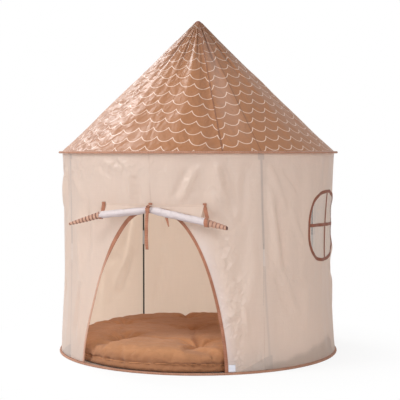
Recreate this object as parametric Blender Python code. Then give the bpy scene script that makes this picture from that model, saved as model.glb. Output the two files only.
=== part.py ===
"""Round play tent with a cone roof, a rolled-up door, two netted windows and a mattress.

Everything is in metres with +Z up. The origin is the middle of the floor's underside and
the door faces -Y. Angles round the tent start at the door and grow towards +X.
"""

import math

import bmesh
import bpy
from mathutils import Vector

# Cloth, clearances and counts
CLOTH = 0.0015
GAP = 0.0003
TURN = 2.0 * math.pi
HOOP_SEGMENTS = 48
ROD_SIDES = 8
SLEEVE_SIDES = 12
SHARP_ANGLE = math.radians(40.0)

# The tent's overall size
TENT_RADIUS = 0.550
EAVE_HEIGHT = 0.782
ROOF_RISE = 0.518
PANELS = 4
PANEL_ANGLE = TURN / PANELS

# Hems: a folded casing that holds a hoop at the floor and another at the eave
HOOP_ROD_RADIUS = 0.0025
FOOT_STEP = 0.008
EAVE_STEP = 0.016
SEAM_LAP = 0.001
CASING_WIDTH = EAVE_STEP + CLOTH + SEAM_LAP
CASING_HEIGHT = 2.0 * (HOOP_ROD_RADIUS + GAP + CLOTH)
CASING_INNER_RADIUS = TENT_RADIUS - CASING_WIDTH
HOOP_RADIUS = TENT_RADIUS - CLOTH - GAP - HOOP_ROD_RADIUS

# Walls: straight lines from floor to eave that dip inwards between the poles
WALL_FOOT = CASING_HEIGHT + GAP
WALL_TOP = EAVE_HEIGHT - CASING_HEIGHT / 2.0 - GAP
WALL_FOOT_RADIUS = TENT_RADIUS - FOOT_STEP
WALL_TOP_RADIUS = TENT_RADIUS - EAVE_STEP
WALL_MEAN_RADIUS = (WALL_FOOT_RADIUS + WALL_TOP_RADIUS) / 2.0
WALL_POLE_DIP = 0.008
WALL_PANEL_DIP = 0.028
WALL_COLUMNS = 12
WALL_ROWS = 8
WALL_RINGS = 4

# Roof: a cone of six gores whose cloth dips a little between the poles
ROOF_FOOT = EAVE_HEIGHT + CASING_HEIGHT / 2.0 + GAP
ROOF_FOOT_RADIUS = TENT_RADIUS - EAVE_STEP + CLOTH
ROOF_TIP_RADIUS = 0.015
TIP_CAP_RADIUS = 0.0165
TIP_CAP_HEIGHT = 0.008
ROOF_TIP = EAVE_HEIGHT + ROOF_RISE - TIP_CAP_HEIGHT - GAP
ROOF_POLE_DIP = 0.001
ROOF_PANEL_DIP = 0.009
ROOF_GORES = ("front", "right_front", "right_rear", "rear", "left_rear", "left_front")
ROOF_GORE_ANGLE = TURN / len(ROOF_GORES)
ROOF_SEAM_TURN = math.radians(-1.9)
ROOF_COLUMNS = 7
ROOF_ROWS = 8

# Poles: fibreglass rods in two lengths, with a ferrule where they join
POLE_RADIUS = 0.0035
BORE_RADIUS = POLE_RADIUS + GAP
FERRULE_RADIUS = 0.0045
FERRULE_LENGTH = 0.060
FERRULE_HEIGHT = 0.408
POLE_SETBACK = 0.003
SLEEVE_RADIUS = 0.0055
SLEEVE_LENGTH = 0.040
SLEEVE_STOP = 0.010
SLEEVE_CLEARANCE = 0.0015
HUB_RADIUS = 0.030
HUB_TOP_RADIUS = 0.012
HUB_STOP_RADIUS = 0.015

# The angle of each pole's top and foot. The front right pole stands a little askew.
POLE_ANGLES = {
    "front_right": (math.radians(43.5), math.radians(47.3)),
    "front_left": (math.radians(-45.0), math.radians(-45.0)),
    "rear_left": (math.radians(-133.5), math.radians(-133.5)),
    "rear_right": (math.radians(133.0), math.radians(133.0)),
}

# Edge binding
BINDING_WIDTH = 0.012
BINDING_PROUD = 0.0012

# The three-cornered pockets inside the wall that the poles' feet stand in
POCKET_WIDTH = 0.110
POCKET_HEIGHT = 0.052
POCKET_TIP_HEIGHT = 0.004
POCKET_CLOTH = 0.0008
POCKET_SETBACK = 0.0040
POCKET_EDGE = 0.011
POCKET_ROOM = 0.006

# Door opening, measured along the wall to the middle of its binding; the arch leans to the
# right a little
DOOR_HALF_WIDTH = 0.2906
DOOR_HEIGHT = 0.583
DOOR_FOOT_SHIFT = -0.0127
DOOR_TOP_SHIFT = 0.0101
DOOR_SIDE_POWER = 0.91
DOOR_TOP_POWER = 1.38
DOOR_TOP_STEPS = 9
DOOR_SIDE_STEPS = 7

# Windows, measured to the outer edge of their binding
WINDOW_ANGLES = {"right": PANEL_ANGLE, "left": -PANEL_ANGLE}
WINDOW_HEIGHT = 0.5035
WINDOW_HALF_WIDTH = 0.193
WINDOW_HALF_HEIGHT = 0.1355
WINDOW_POWER = 2.6
WINDOW_SIDE_STEPS = 8
MUNTIN_WIDTH = 0.012
MUNTIN_CLOTH = 0.0014
MUNTIN_END_GAP = 0.0009
NET_CORD = 0.0020
NET_THICKNESS = 0.0008
NET_GAPS_ACROSS = 5
NET_GAPS_UP = 4

# The door cloth, rolled up under its seam
SEAM_HEIGHT = 0.597
SEAM_HALF_WIDTH = 0.200
SEAM_LIFT = 0.0015
APRON_COLUMNS = 12
APRON_ROWS = 3
ROLL_RADIUS = 0.0145
ROLL_TOP_DROP = 0.0160
ROLL_END_DROP = 0.060
ROLL_LEFT_REACH = 0.303
ROLL_RIGHT_REACH = 0.290
ROLL_LEFT_EDGE = 0.184
ROLL_RIGHT_EDGE = 0.208
ROLL_STEP = 0.014
ROLL_SIDES = 12
ROLL_EDGE_LAYERS = 5
ROLL_EDGE_TAPER_SHARE = 0.80
# Place along the roll, how far it hangs down and how thick it is, as shares of the reach,
# the end drop and the radius
ROLL_SHARES = (
    (-1.00, 0.95, 0.20),
    (-0.61, 0.37, 0.95),
    (-0.12, 0.03, 0.95),
    (0.00, 0.00, 0.72),
    (0.12, 0.07, 0.95),
    (0.72, 0.67, 1.00),
    (1.00, 1.00, 0.55),
)

# Ribbon ties round the roll
TIE_WIDTH = 0.014
TIE_THICKNESS = 0.0011
TIE_PLACES = {"left": -0.169, "centre": 0.0, "right": 0.220}
TIE_HEAD_DROP = 0.004
TIE_STEPS = 10
TIE_STEP_ANGLE = math.radians(26.0)
TIE_LEAD_ANGLE = math.radians(35.0)
KNOT_WIDTH = 0.016
KNOT_HEIGHT = 0.014
KNOT_DEPTH = 0.0035
TAIL_WIDTH = 0.012
TAIL_LENGTH = 0.132
TAIL_STEPS = 6
TAIL_BOW = 0.004
INNER_TAIL_PLACE = 0.073
INNER_TAIL_LENGTH = 0.032
INNER_TAIL_STEPS = 3

# The hook-and-loop patch beside the door's right foot
PATCH_SIZE = 0.025
PATCH_THICKNESS = 0.0012

# Round tufted mattress, which lies nearer to the door than to the rear wall
MATTRESS_ROOM = 0.0685
MATTRESS_SHIFT = 0.060
MATTRESS_RADIUS = CASING_INNER_RADIUS - MATTRESS_ROOM
MATTRESS_HEIGHT = 0.092
MATTRESS_SEGMENTS = 36
TUFT_COUNT = 6
TUFT_SETBACK = 0.147
TUFT_RING_RADIUS = MATTRESS_RADIUS - TUFT_SETBACK
TUFT_FIRST_ANGLE = math.radians(23.0)
TUFT_DEPTH = 0.024
TUFT_REACH = 0.050
TUFT_FADE_POWER = 4
# Outline from the middle of the underside to near the middle of the top, as shares of the
# radius and the height
MATTRESS_SHARES = (
    (0.50, 0.00),
    (0.94, 0.00),
    (0.985, 0.12),
    (0.975, 0.27),
    (1.00, 0.44),
    (0.975, 0.66),
    (0.91, 0.82),
    (0.81, 0.91),
    (0.70, 0.96),
    (0.55, 0.98),
    (0.36, 1.00),
    (0.18, 1.00),
    (0.05, 1.00),
)

# Colour, roughness and metallic value of each finish
FINISHES = {
    "wall_cloth": ((0.84, 0.76, 0.69), 0.85, 0.0),
    "roof_cloth": ((0.58, 0.38, 0.29), 0.80, 0.0),
    "binding": ((0.52, 0.30, 0.21), 0.80, 0.0),
    "floor_cloth": ((0.80, 0.72, 0.66), 0.85, 0.0),
    "net": ((0.82, 0.80, 0.78), 0.90, 0.0),
    "door_cloth": ((0.90, 0.87, 0.89), 0.85, 0.0),
    "pocket_cloth": ((0.62, 0.62, 0.62), 0.85, 0.0),
    "fibreglass": ((0.03, 0.03, 0.03), 0.45, 0.0),
    "ferrule_steel": ((0.72, 0.73, 0.75), 0.35, 1.0),
    "fitting_plastic": ((0.70, 0.70, 0.72), 0.50, 0.0),
    "hoop_steel": ((0.55, 0.56, 0.58), 0.40, 1.0),
    "hook_tape": ((0.92, 0.92, 0.93), 0.90, 0.0),
    "mattress_cloth": ((0.66, 0.38, 0.21), 0.95, 0.0),
}


def clear_scene():
    """Remove every object from the open scene."""
    for item in list(bpy.data.objects):
        bpy.data.objects.remove(item, do_unlink=True)


def make_finish(node, finish):
    """Return a material of the named finish for one node."""
    colour, roughness, metallic = FINISHES[finish]
    material = bpy.data.materials.new(node)
    material.use_nodes = True
    shader = material.node_tree.nodes["Principled BSDF"]
    shader.inputs["Base Color"].default_value = (*colour, 1.0)
    shader.inputs["Roughness"].default_value = roughness
    shader.inputs["Metallic"].default_value = metallic
    material.diffuse_color = (*colour, 1.0)
    return material


def add_node(node, builder, finish, origin=None):
    """Turn a bmesh into one named object, with its faces pointing outwards.

    The object's origin goes to the given point, which is the joint's axis on moving pieces.
    """
    bmesh.ops.recalc_face_normals(builder, faces=builder.faces)
    place = origin if origin is not None else Vector((0.0, 0.0, 0.0))
    bmesh.ops.translate(builder, verts=builder.verts, vec=-place)
    mesh = bpy.data.meshes.new(node)
    builder.to_mesh(mesh)
    builder.free()
    mesh.shade_smooth()
    mesh.set_sharp_from_angle(angle=SHARP_ANGLE)
    mesh.materials.append(make_finish(node, finish))
    item = bpy.data.objects.new(node, mesh)
    item.location = place
    bpy.context.scene.collection.objects.link(item)
    return item


def around(angle, radius, height):
    """Return the point at an angle round the tent."""
    return Vector((radius * math.sin(angle), -radius * math.cos(angle), height))


def blend(start, end, share):
    """Return the value that lies a share of the way from start to end."""
    return start + (end - start) * share


def steps(start, end, count):
    """Return count + 1 evenly spaced values from start to end."""
    return [blend(start, end, index / count) for index in range(count + 1)]


def slack_share(angle):
    """Return 0 at a pole and 1 midway between two poles."""
    return math.cos(angle * PANELS / 2.0) ** 2


def wall_radius(angle, height):
    """Return the radius of the wall's outer face."""
    rise = (height - WALL_FOOT) / (WALL_TOP - WALL_FOOT)
    dip = blend(WALL_POLE_DIP, WALL_PANEL_DIP, slack_share(angle))
    return blend(WALL_FOOT_RADIUS, WALL_TOP_RADIUS, rise) - dip * math.sin(math.pi * rise)


def on_wall(site, offset):
    """Place an (angle, height) site at an offset outwards from the wall's outer face."""
    angle, height = site
    return around(angle, wall_radius(angle, height) + offset, height)


def roof_radius(angle, rise):
    """Return the radius of the roof's outer face at a share of its height."""
    dip = blend(ROOF_POLE_DIP, ROOF_PANEL_DIP, slack_share(angle))
    return blend(ROOF_FOOT_RADIUS, ROOF_TIP_RADIUS, rise) - dip * math.sin(math.pi * rise)


def on_roof(site, offset):
    """Place an (angle, rise) site at an offset outwards from the roof's outer face."""
    angle, rise = site
    height = blend(ROOF_FOOT, ROOF_TIP, rise)
    return around(angle, roof_radius(angle, rise) + offset, height)


def rim_edges(cells):
    """Return the directed edges that belong to only one cell."""
    edges = {}
    for cell in cells:
        for start, end in zip(cell, cell[1:] + cell[:1]):
            if (end, start) in edges:
                del edges[(end, start)]
            else:
                edges[(start, end)] = True
    return list(edges)


def halved(cells):
    """Return the cells with each quad cut in two along its first diagonal."""
    pieces = []
    for cell in cells:
        if len(cell) == 4:
            pieces += [(cell[0], cell[1], cell[2]), (cell[0], cell[2], cell[3])]
        else:
            pieces.append(cell)
    return pieces


def add_shell(builder, sites, cells, surface, outer, inner):
    """Add a closed sheet whose two faces lie at the outer and inner offsets of a surface.

    Both faces are cut along the same diagonals, so that the cloth is as thick everywhere.
    """
    outside = [builder.verts.new(surface(site, outer)) for site in sites]
    inside = [builder.verts.new(surface(site, inner)) for site in sites]
    for cell in halved(cells):
        builder.faces.new([outside[index] for index in cell])
        builder.faces.new([inside[index] for index in reversed(cell)])
    for start, end in rim_edges(cells):
        builder.faces.new((outside[end], outside[start], inside[start], inside[end]))


def grid_cells(columns, rows):
    """Return the quad cells of a grid of sites that is stored row by row."""
    cells = []
    for row in range(rows):
        for column in range(columns):
            corner = row * (columns + 1) + column
            above = corner + columns + 1
            cells.append((corner, corner + 1, above + 1, above))
    return cells


def band_cells(count, rings, closed):
    """Return the quad cells between concentric rings of count sites each."""
    cells = []
    spans = count if closed else count - 1
    for ring in range(rings):
        for index in range(spans):
            following = (index + 1) % count
            inner = ring * count
            outer = inner + count
            cells.append((inner + index, inner + following, outer + following, outer + index))
    return cells


def add_rings(builder, rings, looped=False):
    """Join rings of points one after the other, and cap the first and last or loop them."""
    loops = [[builder.verts.new(point) for point in ring] for ring in rings]
    pairs = list(zip(loops, loops[1:]))
    if looped:
        pairs.append((loops[-1], loops[0]))
    else:
        builder.faces.new(loops[0])
        builder.faces.new(reversed(loops[-1]))
    for first, second in pairs:
        count = len(first)
        for index in range(count):
            following = (index + 1) % count
            builder.faces.new((first[index], first[following], second[following], second[index]))


def cross_axes(direction):
    """Return two unit vectors square to a direction."""
    across = direction.orthogonal().normalized()
    return across, direction.cross(across).normalized()


def circle(centre, direction, radius, sides):
    """Return a ring of points round a centre, square to a direction."""
    across, up = cross_axes(direction)
    angles = [TURN * index / sides for index in range(sides)]
    return [centre + radius * (math.cos(a) * across + math.sin(a) * up) for a in angles]


def turned_rings(profile, segments):
    """Return the rings that a closed (radius, height) profile sweeps round the Z axis."""
    angles = [TURN * index / segments for index in range(segments)]
    return [[around(angle, radius, height) for radius, height in profile] for angle in angles]


def add_turned(builder, profile, segments):
    """Add the solid that a profile makes when it is turned and capped on the Z axis."""
    angles = [TURN * index / segments for index in range(segments)]
    rings = [[around(angle, radius, height) for angle in angles] for radius, height in profile]
    add_rings(builder, rings)


def add_rod(builder, start, end, radius):
    """Add a round rod between two points."""
    direction = (end - start).normalized()
    rings = [circle(point, direction, radius, ROD_SIDES) for point in (start, end)]
    add_rings(builder, rings)


def add_sleeve(builder, start, end, radius, bore):
    """Add a tube that is open at both ends."""
    direction = (end - start).normalized()
    outer = [circle(point, direction, radius, ROD_SIDES) for point in (start, end)]
    inner = [circle(point, direction, bore, ROD_SIDES) for point in (end, start)]
    add_rings(builder, outer + inner, looped=True)


class Pole:
    """The line of one wall pole and of the roof pole above it."""

    def __init__(self, name):
        """Work out the pole's points from its angles and the cloth that it stands under."""
        self.name = name
        top_angle, foot_angle = POLE_ANGLES[name]
        heights = steps(WALL_FOOT, WALL_TOP, WALL_ROWS)
        narrowest = min(wall_radius(PANEL_ANGLE / 2.0, height) for height in heights)
        radius = narrowest - CLOTH - FERRULE_RADIUS - POLE_SETBACK
        slope = (ROOF_TIP - ROOF_FOOT) / (ROOF_FOOT_RADIUS - ROOF_TIP_RADIUS)
        drop = (SLEEVE_RADIUS + SLEEVE_CLEARANCE) * math.hypot(1.0, slope)
        self.slope = slope
        self.axis_top = ROOF_FOOT + (ROOF_FOOT_RADIUS - CLOTH) * slope - drop
        self.corner = around(top_angle, radius, self.axis_top - radius * slope)
        self.foot_angle = foot_angle
        self.radius = radius
        self.foot = around(foot_angle, radius, CLOTH + 2.0 * GAP)
        self.up = (self.corner - self.foot).normalized()
        apex = Vector((0.0, 0.0, self.axis_top))
        self.inward = (apex - self.corner).normalized()
        self.roof_end = blend(apex, self.corner, HUB_STOP_RADIUS / radius)
        self.wall_end = self.corner - SLEEVE_STOP * self.up
        self.roof_start = self.corner + SLEEVE_STOP * self.inward
        self.wall_joint = self.on_wall_pole(FERRULE_HEIGHT)
        self.roof_joint = blend(self.roof_start, self.roof_end, 1.0 / 2.0)

    def on_wall_pole(self, height):
        """Return the point of the wall pole's axis at a height."""
        share = (height - self.foot.z) / (self.corner.z - self.foot.z)
        return blend(self.foot, self.corner, share)


def build_hoops_and_casings():
    """Add both hoops and the folded hems that hold them."""
    middles = {"floor": CASING_HEIGHT / 2.0, "eave": EAVE_HEIGHT}
    half = CASING_HEIGHT / 2.0
    slot = half - CLOTH
    back = TENT_RADIUS - CLOTH
    for name, middle in middles.items():
        angles = [TURN * index / ROD_SIDES for index in range(ROD_SIDES)]
        rod = [
            (HOOP_RADIUS + HOOP_ROD_RADIUS * math.cos(a), middle + HOOP_ROD_RADIUS * math.sin(a))
            for a in angles
        ]
        hoop = bmesh.new()
        add_rings(hoop, turned_rings(rod, HOOP_SEGMENTS), looped=True)
        add_node(f"{name}_hoop", hoop, "hoop_steel")
        fold = [
            (CASING_INNER_RADIUS, middle - half),
            (TENT_RADIUS, middle - half),
            (TENT_RADIUS, middle + half),
            (CASING_INNER_RADIUS, middle + half),
            (CASING_INNER_RADIUS, middle + slot),
            (back, middle + slot),
            (back, middle - slot),
            (CASING_INNER_RADIUS, middle - slot),
        ]
        casing = bmesh.new()
        add_rings(casing, turned_rings(fold, HOOP_SEGMENTS), looped=True)
        add_node(f"{name}_hem_casing", casing, "binding")


def build_floor():
    """Add the round floor cloth inside the floor hem."""
    builder = bmesh.new()
    radius = CASING_INNER_RADIUS - GAP
    add_turned(builder, [(radius, 0.0), (radius, CLOTH)], HOOP_SEGMENTS)
    add_node("floor_cloth", builder, "floor_cloth")


def panel_limit():
    """Return half a panel's angle, less half the seam's gap."""
    return PANEL_ANGLE / 2.0 - GAP / 2.0 / CASING_INNER_RADIUS


def build_rear_wall():
    """Add the plain panel behind."""
    middle = TURN / 2.0
    columns = steps(middle - panel_limit(), middle + panel_limit(), WALL_COLUMNS)
    sites = [(a, h) for h in steps(WALL_FOOT, WALL_TOP, WALL_ROWS) for a in columns]
    builder = bmesh.new()
    add_shell(builder, sites, grid_cells(WALL_COLUMNS, WALL_ROWS), on_wall, 0.0, -CLOTH)
    add_node("wall_rear", builder, "wall_cloth")


def square_places():
    """Return the places round a square from -1 to 1, with its corners among them."""
    run = steps(-1.0, 1.0, WINDOW_SIDE_STEPS)[:-1]
    lower = [(place, -1.0) for place in run]
    right = [(1.0, place) for place in run]
    upper = [(-place, 1.0) for place in run]
    left = [(-1.0, -place) for place in run]
    return lower + right + upper + left


def window_outline(middle, margin):
    """Return the window's rounded outline, grown by a margin, as sites on the wall."""
    sites = []
    for across, up in square_places():
        size = (abs(across) ** WINDOW_POWER + abs(up) ** WINDOW_POWER) ** (1.0 / WINDOW_POWER)
        run = (WINDOW_HALF_WIDTH + margin) * across / size
        rise = (WINDOW_HALF_HEIGHT + margin) * up / size
        sites.append((middle + run / WALL_MEAN_RADIUS, WINDOW_HEIGHT + rise))
    return sites


def ring_sites(inner, outer, rings):
    """Return rings of sites from an inner outline to an outer one."""
    sites = []
    for share in steps(0.0, 1.0, rings):
        for near, far in zip(inner, outer):
            sites.append((blend(near[0], far[0], share), blend(near[1], far[1], share)))
    return sites


def build_window_wall(side):
    """Add a side panel with a hole for its window."""
    middle = WINDOW_ANGLES[side]
    centre = (WALL_FOOT + WALL_TOP) / 2.0
    half = (WALL_TOP - WALL_FOOT) / 2.0
    border = [(middle + a * panel_limit(), centre + b * half) for a, b in square_places()]
    hole = window_outline(middle, GAP)
    sites = ring_sites(hole, border, WALL_RINGS)
    builder = bmesh.new()
    add_shell(builder, sites, band_cells(len(border), WALL_RINGS, True), on_wall, 0.0, -CLOTH)
    add_node(f"wall_{side}", builder, "wall_cloth")


def build_window_binding(side):
    """Add the binding round a window."""
    middle = WINDOW_ANGLES[side]
    edge = window_outline(middle, 0.0)
    sites = ring_sites(window_outline(middle, -BINDING_WIDTH), edge, 1)
    builder = bmesh.new()
    cells = band_cells(len(edge), 1, True)
    add_shell(builder, sites, cells, on_wall, BINDING_PROUD, -CLOTH - BINDING_PROUD)
    add_node(f"window_{side}_binding", builder, "binding")


def net_lines(reach, gaps):
    """Return the edges of a net's cords from the middle cord outwards, mirrored."""
    spacing = (reach - MUNTIN_WIDTH / 2.0) / gaps
    edges = [MUNTIN_WIDTH / 2.0]
    for index in range(1, gaps + 1):
        end = MUNTIN_WIDTH / 2.0 + spacing * index
        edges += [end - NET_CORD, end]
    return [-edge for edge in reversed(edges)] + edges


def flat_site(site, offset):
    """Place an (across, up) site on the flat, with its offset along -Y."""
    return Vector((site[0], -offset, site[1]))


def flat_object(node, sites, cells, outer, inner):
    """Return an object that holds a flat closed sheet."""
    builder = bmesh.new()
    add_shell(builder, sites, cells, flat_site, outer, inner)
    return add_node(node, builder, "net")


def build_window_net(side):
    """Add a window's net: straight cords, cut to the window's outline, then bent to the wall."""
    middle = WINDOW_ANGLES[side]
    margin = -BINDING_WIDTH - GAP
    across = net_lines(WINDOW_HALF_WIDTH, NET_GAPS_ACROSS)
    up = net_lines(WINDOW_HALF_HEIGHT, NET_GAPS_UP)
    sites = [(a, b) for b in up for a in across]
    cells = grid_cells(len(across) - 1, len(up) - 1)
    cords = []
    for index, cell in enumerate(cells):
        row, column = divmod(index, len(across) - 1)
        if row % 2 == 0 or column % 2 == 0:
            cords.append(cell)
    outer = -CLOTH + NET_THICKNESS
    net = flat_object(f"window_{side}_net", *used_sites(sites, cords), outer, -CLOTH)
    outline = [
        ((angle - middle) * WALL_MEAN_RADIUS, height - WINDOW_HEIGHT)
        for angle, height in window_outline(middle, margin)
    ]
    cutter = flat_object("net_outline", outline, [tuple(range(len(outline)))], CLOTH, -2.0 * CLOTH)
    trim = net.modifiers.new("outline", "BOOLEAN")
    trim.operation = "INTERSECT"
    trim.object = cutter
    graph = bpy.context.evaluated_depsgraph_get()
    trimmed = bpy.data.meshes.new_from_object(net.evaluated_get(graph))
    net.modifiers.clear()
    net.data = trimmed
    bpy.data.objects.remove(cutter, do_unlink=True)
    for vertex in trimmed.vertices:
        site = (middle + vertex.co.x / WALL_MEAN_RADIUS, WINDOW_HEIGHT + vertex.co.z)
        vertex.co = on_wall(site, -vertex.co.y)


def used_sites(sites, cells):
    """Return only the sites that the cells use, and the cells renumbered to match."""
    used = sorted({index for cell in cells for index in cell})
    number = {old: new for new, old in enumerate(used)}
    kept = [sites[index] for index in used]
    return kept, [tuple(number[index] for index in cell) for cell in cells]


def build_window_muntins(side):
    """Add the cross of tape in front of a window's net."""
    middle = WINDOW_ANGLES[side]
    border = BINDING_WIDTH + MUNTIN_END_GAP
    across = net_lines(WINDOW_HALF_WIDTH - border, NET_GAPS_ACROSS)
    up = net_lines(WINDOW_HALF_HEIGHT - border, NET_GAPS_UP)
    sites = []
    for rise in up:
        for run in across:
            sites.append((middle + run / WALL_MEAN_RADIUS, WINDOW_HEIGHT + rise))
    cells = grid_cells(len(across) - 1, len(up) - 1)
    cross = []
    for index, cell in enumerate(cells):
        row, column = divmod(index, len(across) - 1)
        if 2 * row + 2 == len(up) or 2 * column + 2 == len(across):
            cross.append(cell)
    front = -CLOTH + NET_THICKNESS + 2.0 * GAP
    builder = bmesh.new()
    kept, renumbered = used_sites(sites, cross)
    add_shell(builder, kept, renumbered, on_wall, front + MUNTIN_CLOTH, front)
    add_node(f"window_{side}_cross", builder, "binding")


def door_outline(margin):
    """Return the door's arch, grown by a margin, from its left foot to its right one."""
    count = 2 * (DOOR_TOP_STEPS + DOOR_SIDE_STEPS)
    rise = DOOR_HEIGHT + margin - WALL_FOOT
    sites = []
    for turn in steps(-1.0, 1.0, count):
        angle = turn * math.pi / 2.0
        lift = max(math.cos(angle), 0.0) ** DOOR_TOP_POWER
        side = math.copysign(abs(math.sin(angle)) ** DOOR_SIDE_POWER, turn)
        run = (DOOR_HALF_WIDTH + margin) * side
        run += blend(DOOR_FOOT_SHIFT, DOOR_TOP_SHIFT, lift)
        sites.append((run / WALL_MEAN_RADIUS, WALL_FOOT + rise * lift))
    return sites


def door_border():
    """Return the edge of the front panel from its left foot over the top to its right one."""
    limit = panel_limit()
    left = [(-limit, height) for height in steps(WALL_FOOT, WALL_TOP, DOOR_SIDE_STEPS)]
    top = [(angle, WALL_TOP) for angle in steps(-limit, limit, 2 * DOOR_TOP_STEPS)]
    right = [(limit, height) for _, height in reversed(left)]
    return left + top[1:] + right[1:]


def build_front_wall():
    """Add the front panel with the door's arch cut from it."""
    hole = door_outline(BINDING_WIDTH / 2.0 + GAP)
    border = door_border()
    builder = bmesh.new()
    cells = band_cells(len(border), WALL_RINGS, False)
    add_shell(builder, ring_sites(hole, border, WALL_RINGS), cells, on_wall, 0.0, -CLOTH)
    add_node("wall_front", builder, "wall_cloth")


def build_door_binding():
    """Add the binding round the door's arch."""
    edge = door_outline(BINDING_WIDTH / 2.0)
    sites = ring_sites(door_outline(-BINDING_WIDTH / 2.0), edge, 1)
    builder = bmesh.new()
    cells = band_cells(len(edge), 1, False)
    add_shell(builder, sites, cells, on_wall, BINDING_PROUD, -CLOTH - BINDING_PROUD)
    add_node("door_binding", builder, "binding")


def build_roof():
    """Add the roof's gores and the cap on their tips."""
    for number, name in enumerate(ROOF_GORES):
        sites = []
        for rise in steps(0.0, 1.0, ROOF_ROWS):
            radius = roof_radius(ROOF_GORE_ANGLE / 2.0 + ROOF_SEAM_TURN, rise)
            seam = GAP / 2.0 / (radius - CLOTH)
            limit = ROOF_GORE_ANGLE / 2.0 - seam
            middle = number * ROOF_GORE_ANGLE + ROOF_SEAM_TURN
            sites += [(a, rise) for a in steps(middle - limit, middle + limit, ROOF_COLUMNS)]
        builder = bmesh.new()
        add_shell(builder, sites, grid_cells(ROOF_COLUMNS, ROOF_ROWS), on_roof, 0.0, -CLOTH)
        add_node(f"roof_gore_{name}", builder, "roof_cloth")
    foot = ROOF_TIP + GAP
    dome = [(TIP_CAP_RADIUS, foot)]
    for turn in (1.0 / 4.0, 1.0 / 2.0, 3.0 / 4.0, 7.0 / 8.0):
        angle = turn * math.pi / 2.0
        dome.append((TIP_CAP_RADIUS * math.cos(angle), foot + TIP_CAP_HEIGHT * math.sin(angle)))
    dome.append((dome[-1][0] / 2.0, foot + TIP_CAP_HEIGHT))
    builder = bmesh.new()
    add_turned(builder, dome, SLEEVE_SIDES)
    add_node("roof_tip_cap", builder, "binding")


def build_pole(pole):
    """Add a wall pole's two rods and ferrule, its roof pole and the elbow between them."""
    half = FERRULE_LENGTH / 2.0
    lengths = {
        "lower": (pole.foot, pole.wall_joint - GAP / 2.0 * pole.up),
        "upper": (pole.wall_joint + GAP / 2.0 * pole.up, pole.wall_end),
    }
    for name, (start, end) in lengths.items():
        builder = bmesh.new()
        add_rod(builder, start, end, POLE_RADIUS)
        add_node(f"wall_pole_{name}_{pole.name}", builder, "fibreglass")
    ferrule = bmesh.new()
    joint = pole.wall_joint
    add_sleeve(ferrule, joint - half * pole.up, joint + half * pole.up, FERRULE_RADIUS, BORE_RADIUS)
    add_node(f"wall_pole_ferrule_{pole.name}", ferrule, "ferrule_steel")

    start, end = pole.roof_joint - half * pole.inward, pole.roof_joint + half * pole.inward
    sections = (
        (pole.roof_start, POLE_RADIUS),
        (start, POLE_RADIUS),
        (start, FERRULE_RADIUS),
        (end, FERRULE_RADIUS),
        (end, POLE_RADIUS),
        (pole.roof_end, POLE_RADIUS),
    )
    roof = bmesh.new()
    add_rings(roof, [circle(point, pole.inward, size, ROD_SIDES) for point, size in sections])
    add_node(f"roof_pole_{pole.name}", roof, "fibreglass")
    build_elbow(pole)


def build_elbow(pole):
    """Add the bent sleeve that holds a wall pole's top and a roof pole's foot."""
    side = pole.up.cross(pole.inward).normalized()
    below = pole.up.cross(side).normalized()
    above = pole.inward.cross(side).normalized()
    bend = (pole.up + pole.inward).normalized()
    miter = bend.cross(side).normalized()
    stretch = 1.0 / abs(bend.dot(pole.up))
    wall_mouth = pole.corner - SLEEVE_LENGTH * pole.up
    roof_mouth = pole.corner + SLEEVE_LENGTH * pole.inward
    wall_stop = pole.wall_end + GAP * pole.up
    roof_stop = pole.roof_start - GAP * pole.inward
    sections = (
        (wall_stop, below, BORE_RADIUS, 1.0),
        (wall_mouth, below, BORE_RADIUS, 1.0),
        (wall_mouth, below, SLEEVE_RADIUS, 1.0),
        (pole.corner, miter, SLEEVE_RADIUS, stretch),
        (roof_mouth, above, SLEEVE_RADIUS, 1.0),
        (roof_mouth, above, BORE_RADIUS, 1.0),
        (roof_stop, above, BORE_RADIUS, 1.0),
    )
    rings = []
    for centre, across, radius, scale in sections:
        ring = []
        for index in range(SLEEVE_SIDES):
            angle = TURN * index / SLEEVE_SIDES
            reach = radius * (math.cos(angle) * side + scale * math.sin(angle) * across)
            ring.append(centre + reach)
        rings.append(ring)
    builder = bmesh.new()
    add_rings(builder, rings)
    add_node(f"eave_elbow_{pole.name}", builder, "fitting_plastic")


def build_hub(poles):
    """Add the hub at the apex, with a socket for each roof pole."""
    pole = poles[0]
    rise = SLEEVE_RADIUS * math.hypot(1.0, pole.slope)
    side = pole.axis_top - HUB_RADIUS * pole.slope
    top = pole.axis_top - HUB_TOP_RADIUS * pole.slope + rise
    profile = [(HUB_RADIUS, side - rise), (HUB_RADIUS, side + rise), (HUB_TOP_RADIUS, top)]
    builder = bmesh.new()
    add_turned(builder, profile, 2 * SLEEVE_SIDES)
    hub = add_node("apex_hub", builder, "fitting_plastic")
    cuts = bmesh.new()
    for pole in poles:
        start = pole.roof_end + GAP * pole.inward
        add_rod(cuts, start, start - 2.0 * HUB_RADIUS * pole.inward, BORE_RADIUS)
    cutter = add_node("hub_sockets", cuts, "fitting_plastic")
    cutter.hide_render = True
    cutter.display_type = "WIRE"
    socket = hub.modifiers.new("sockets", "BOOLEAN")
    socket.operation = "DIFFERENCE"
    socket.object = cutter


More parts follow.
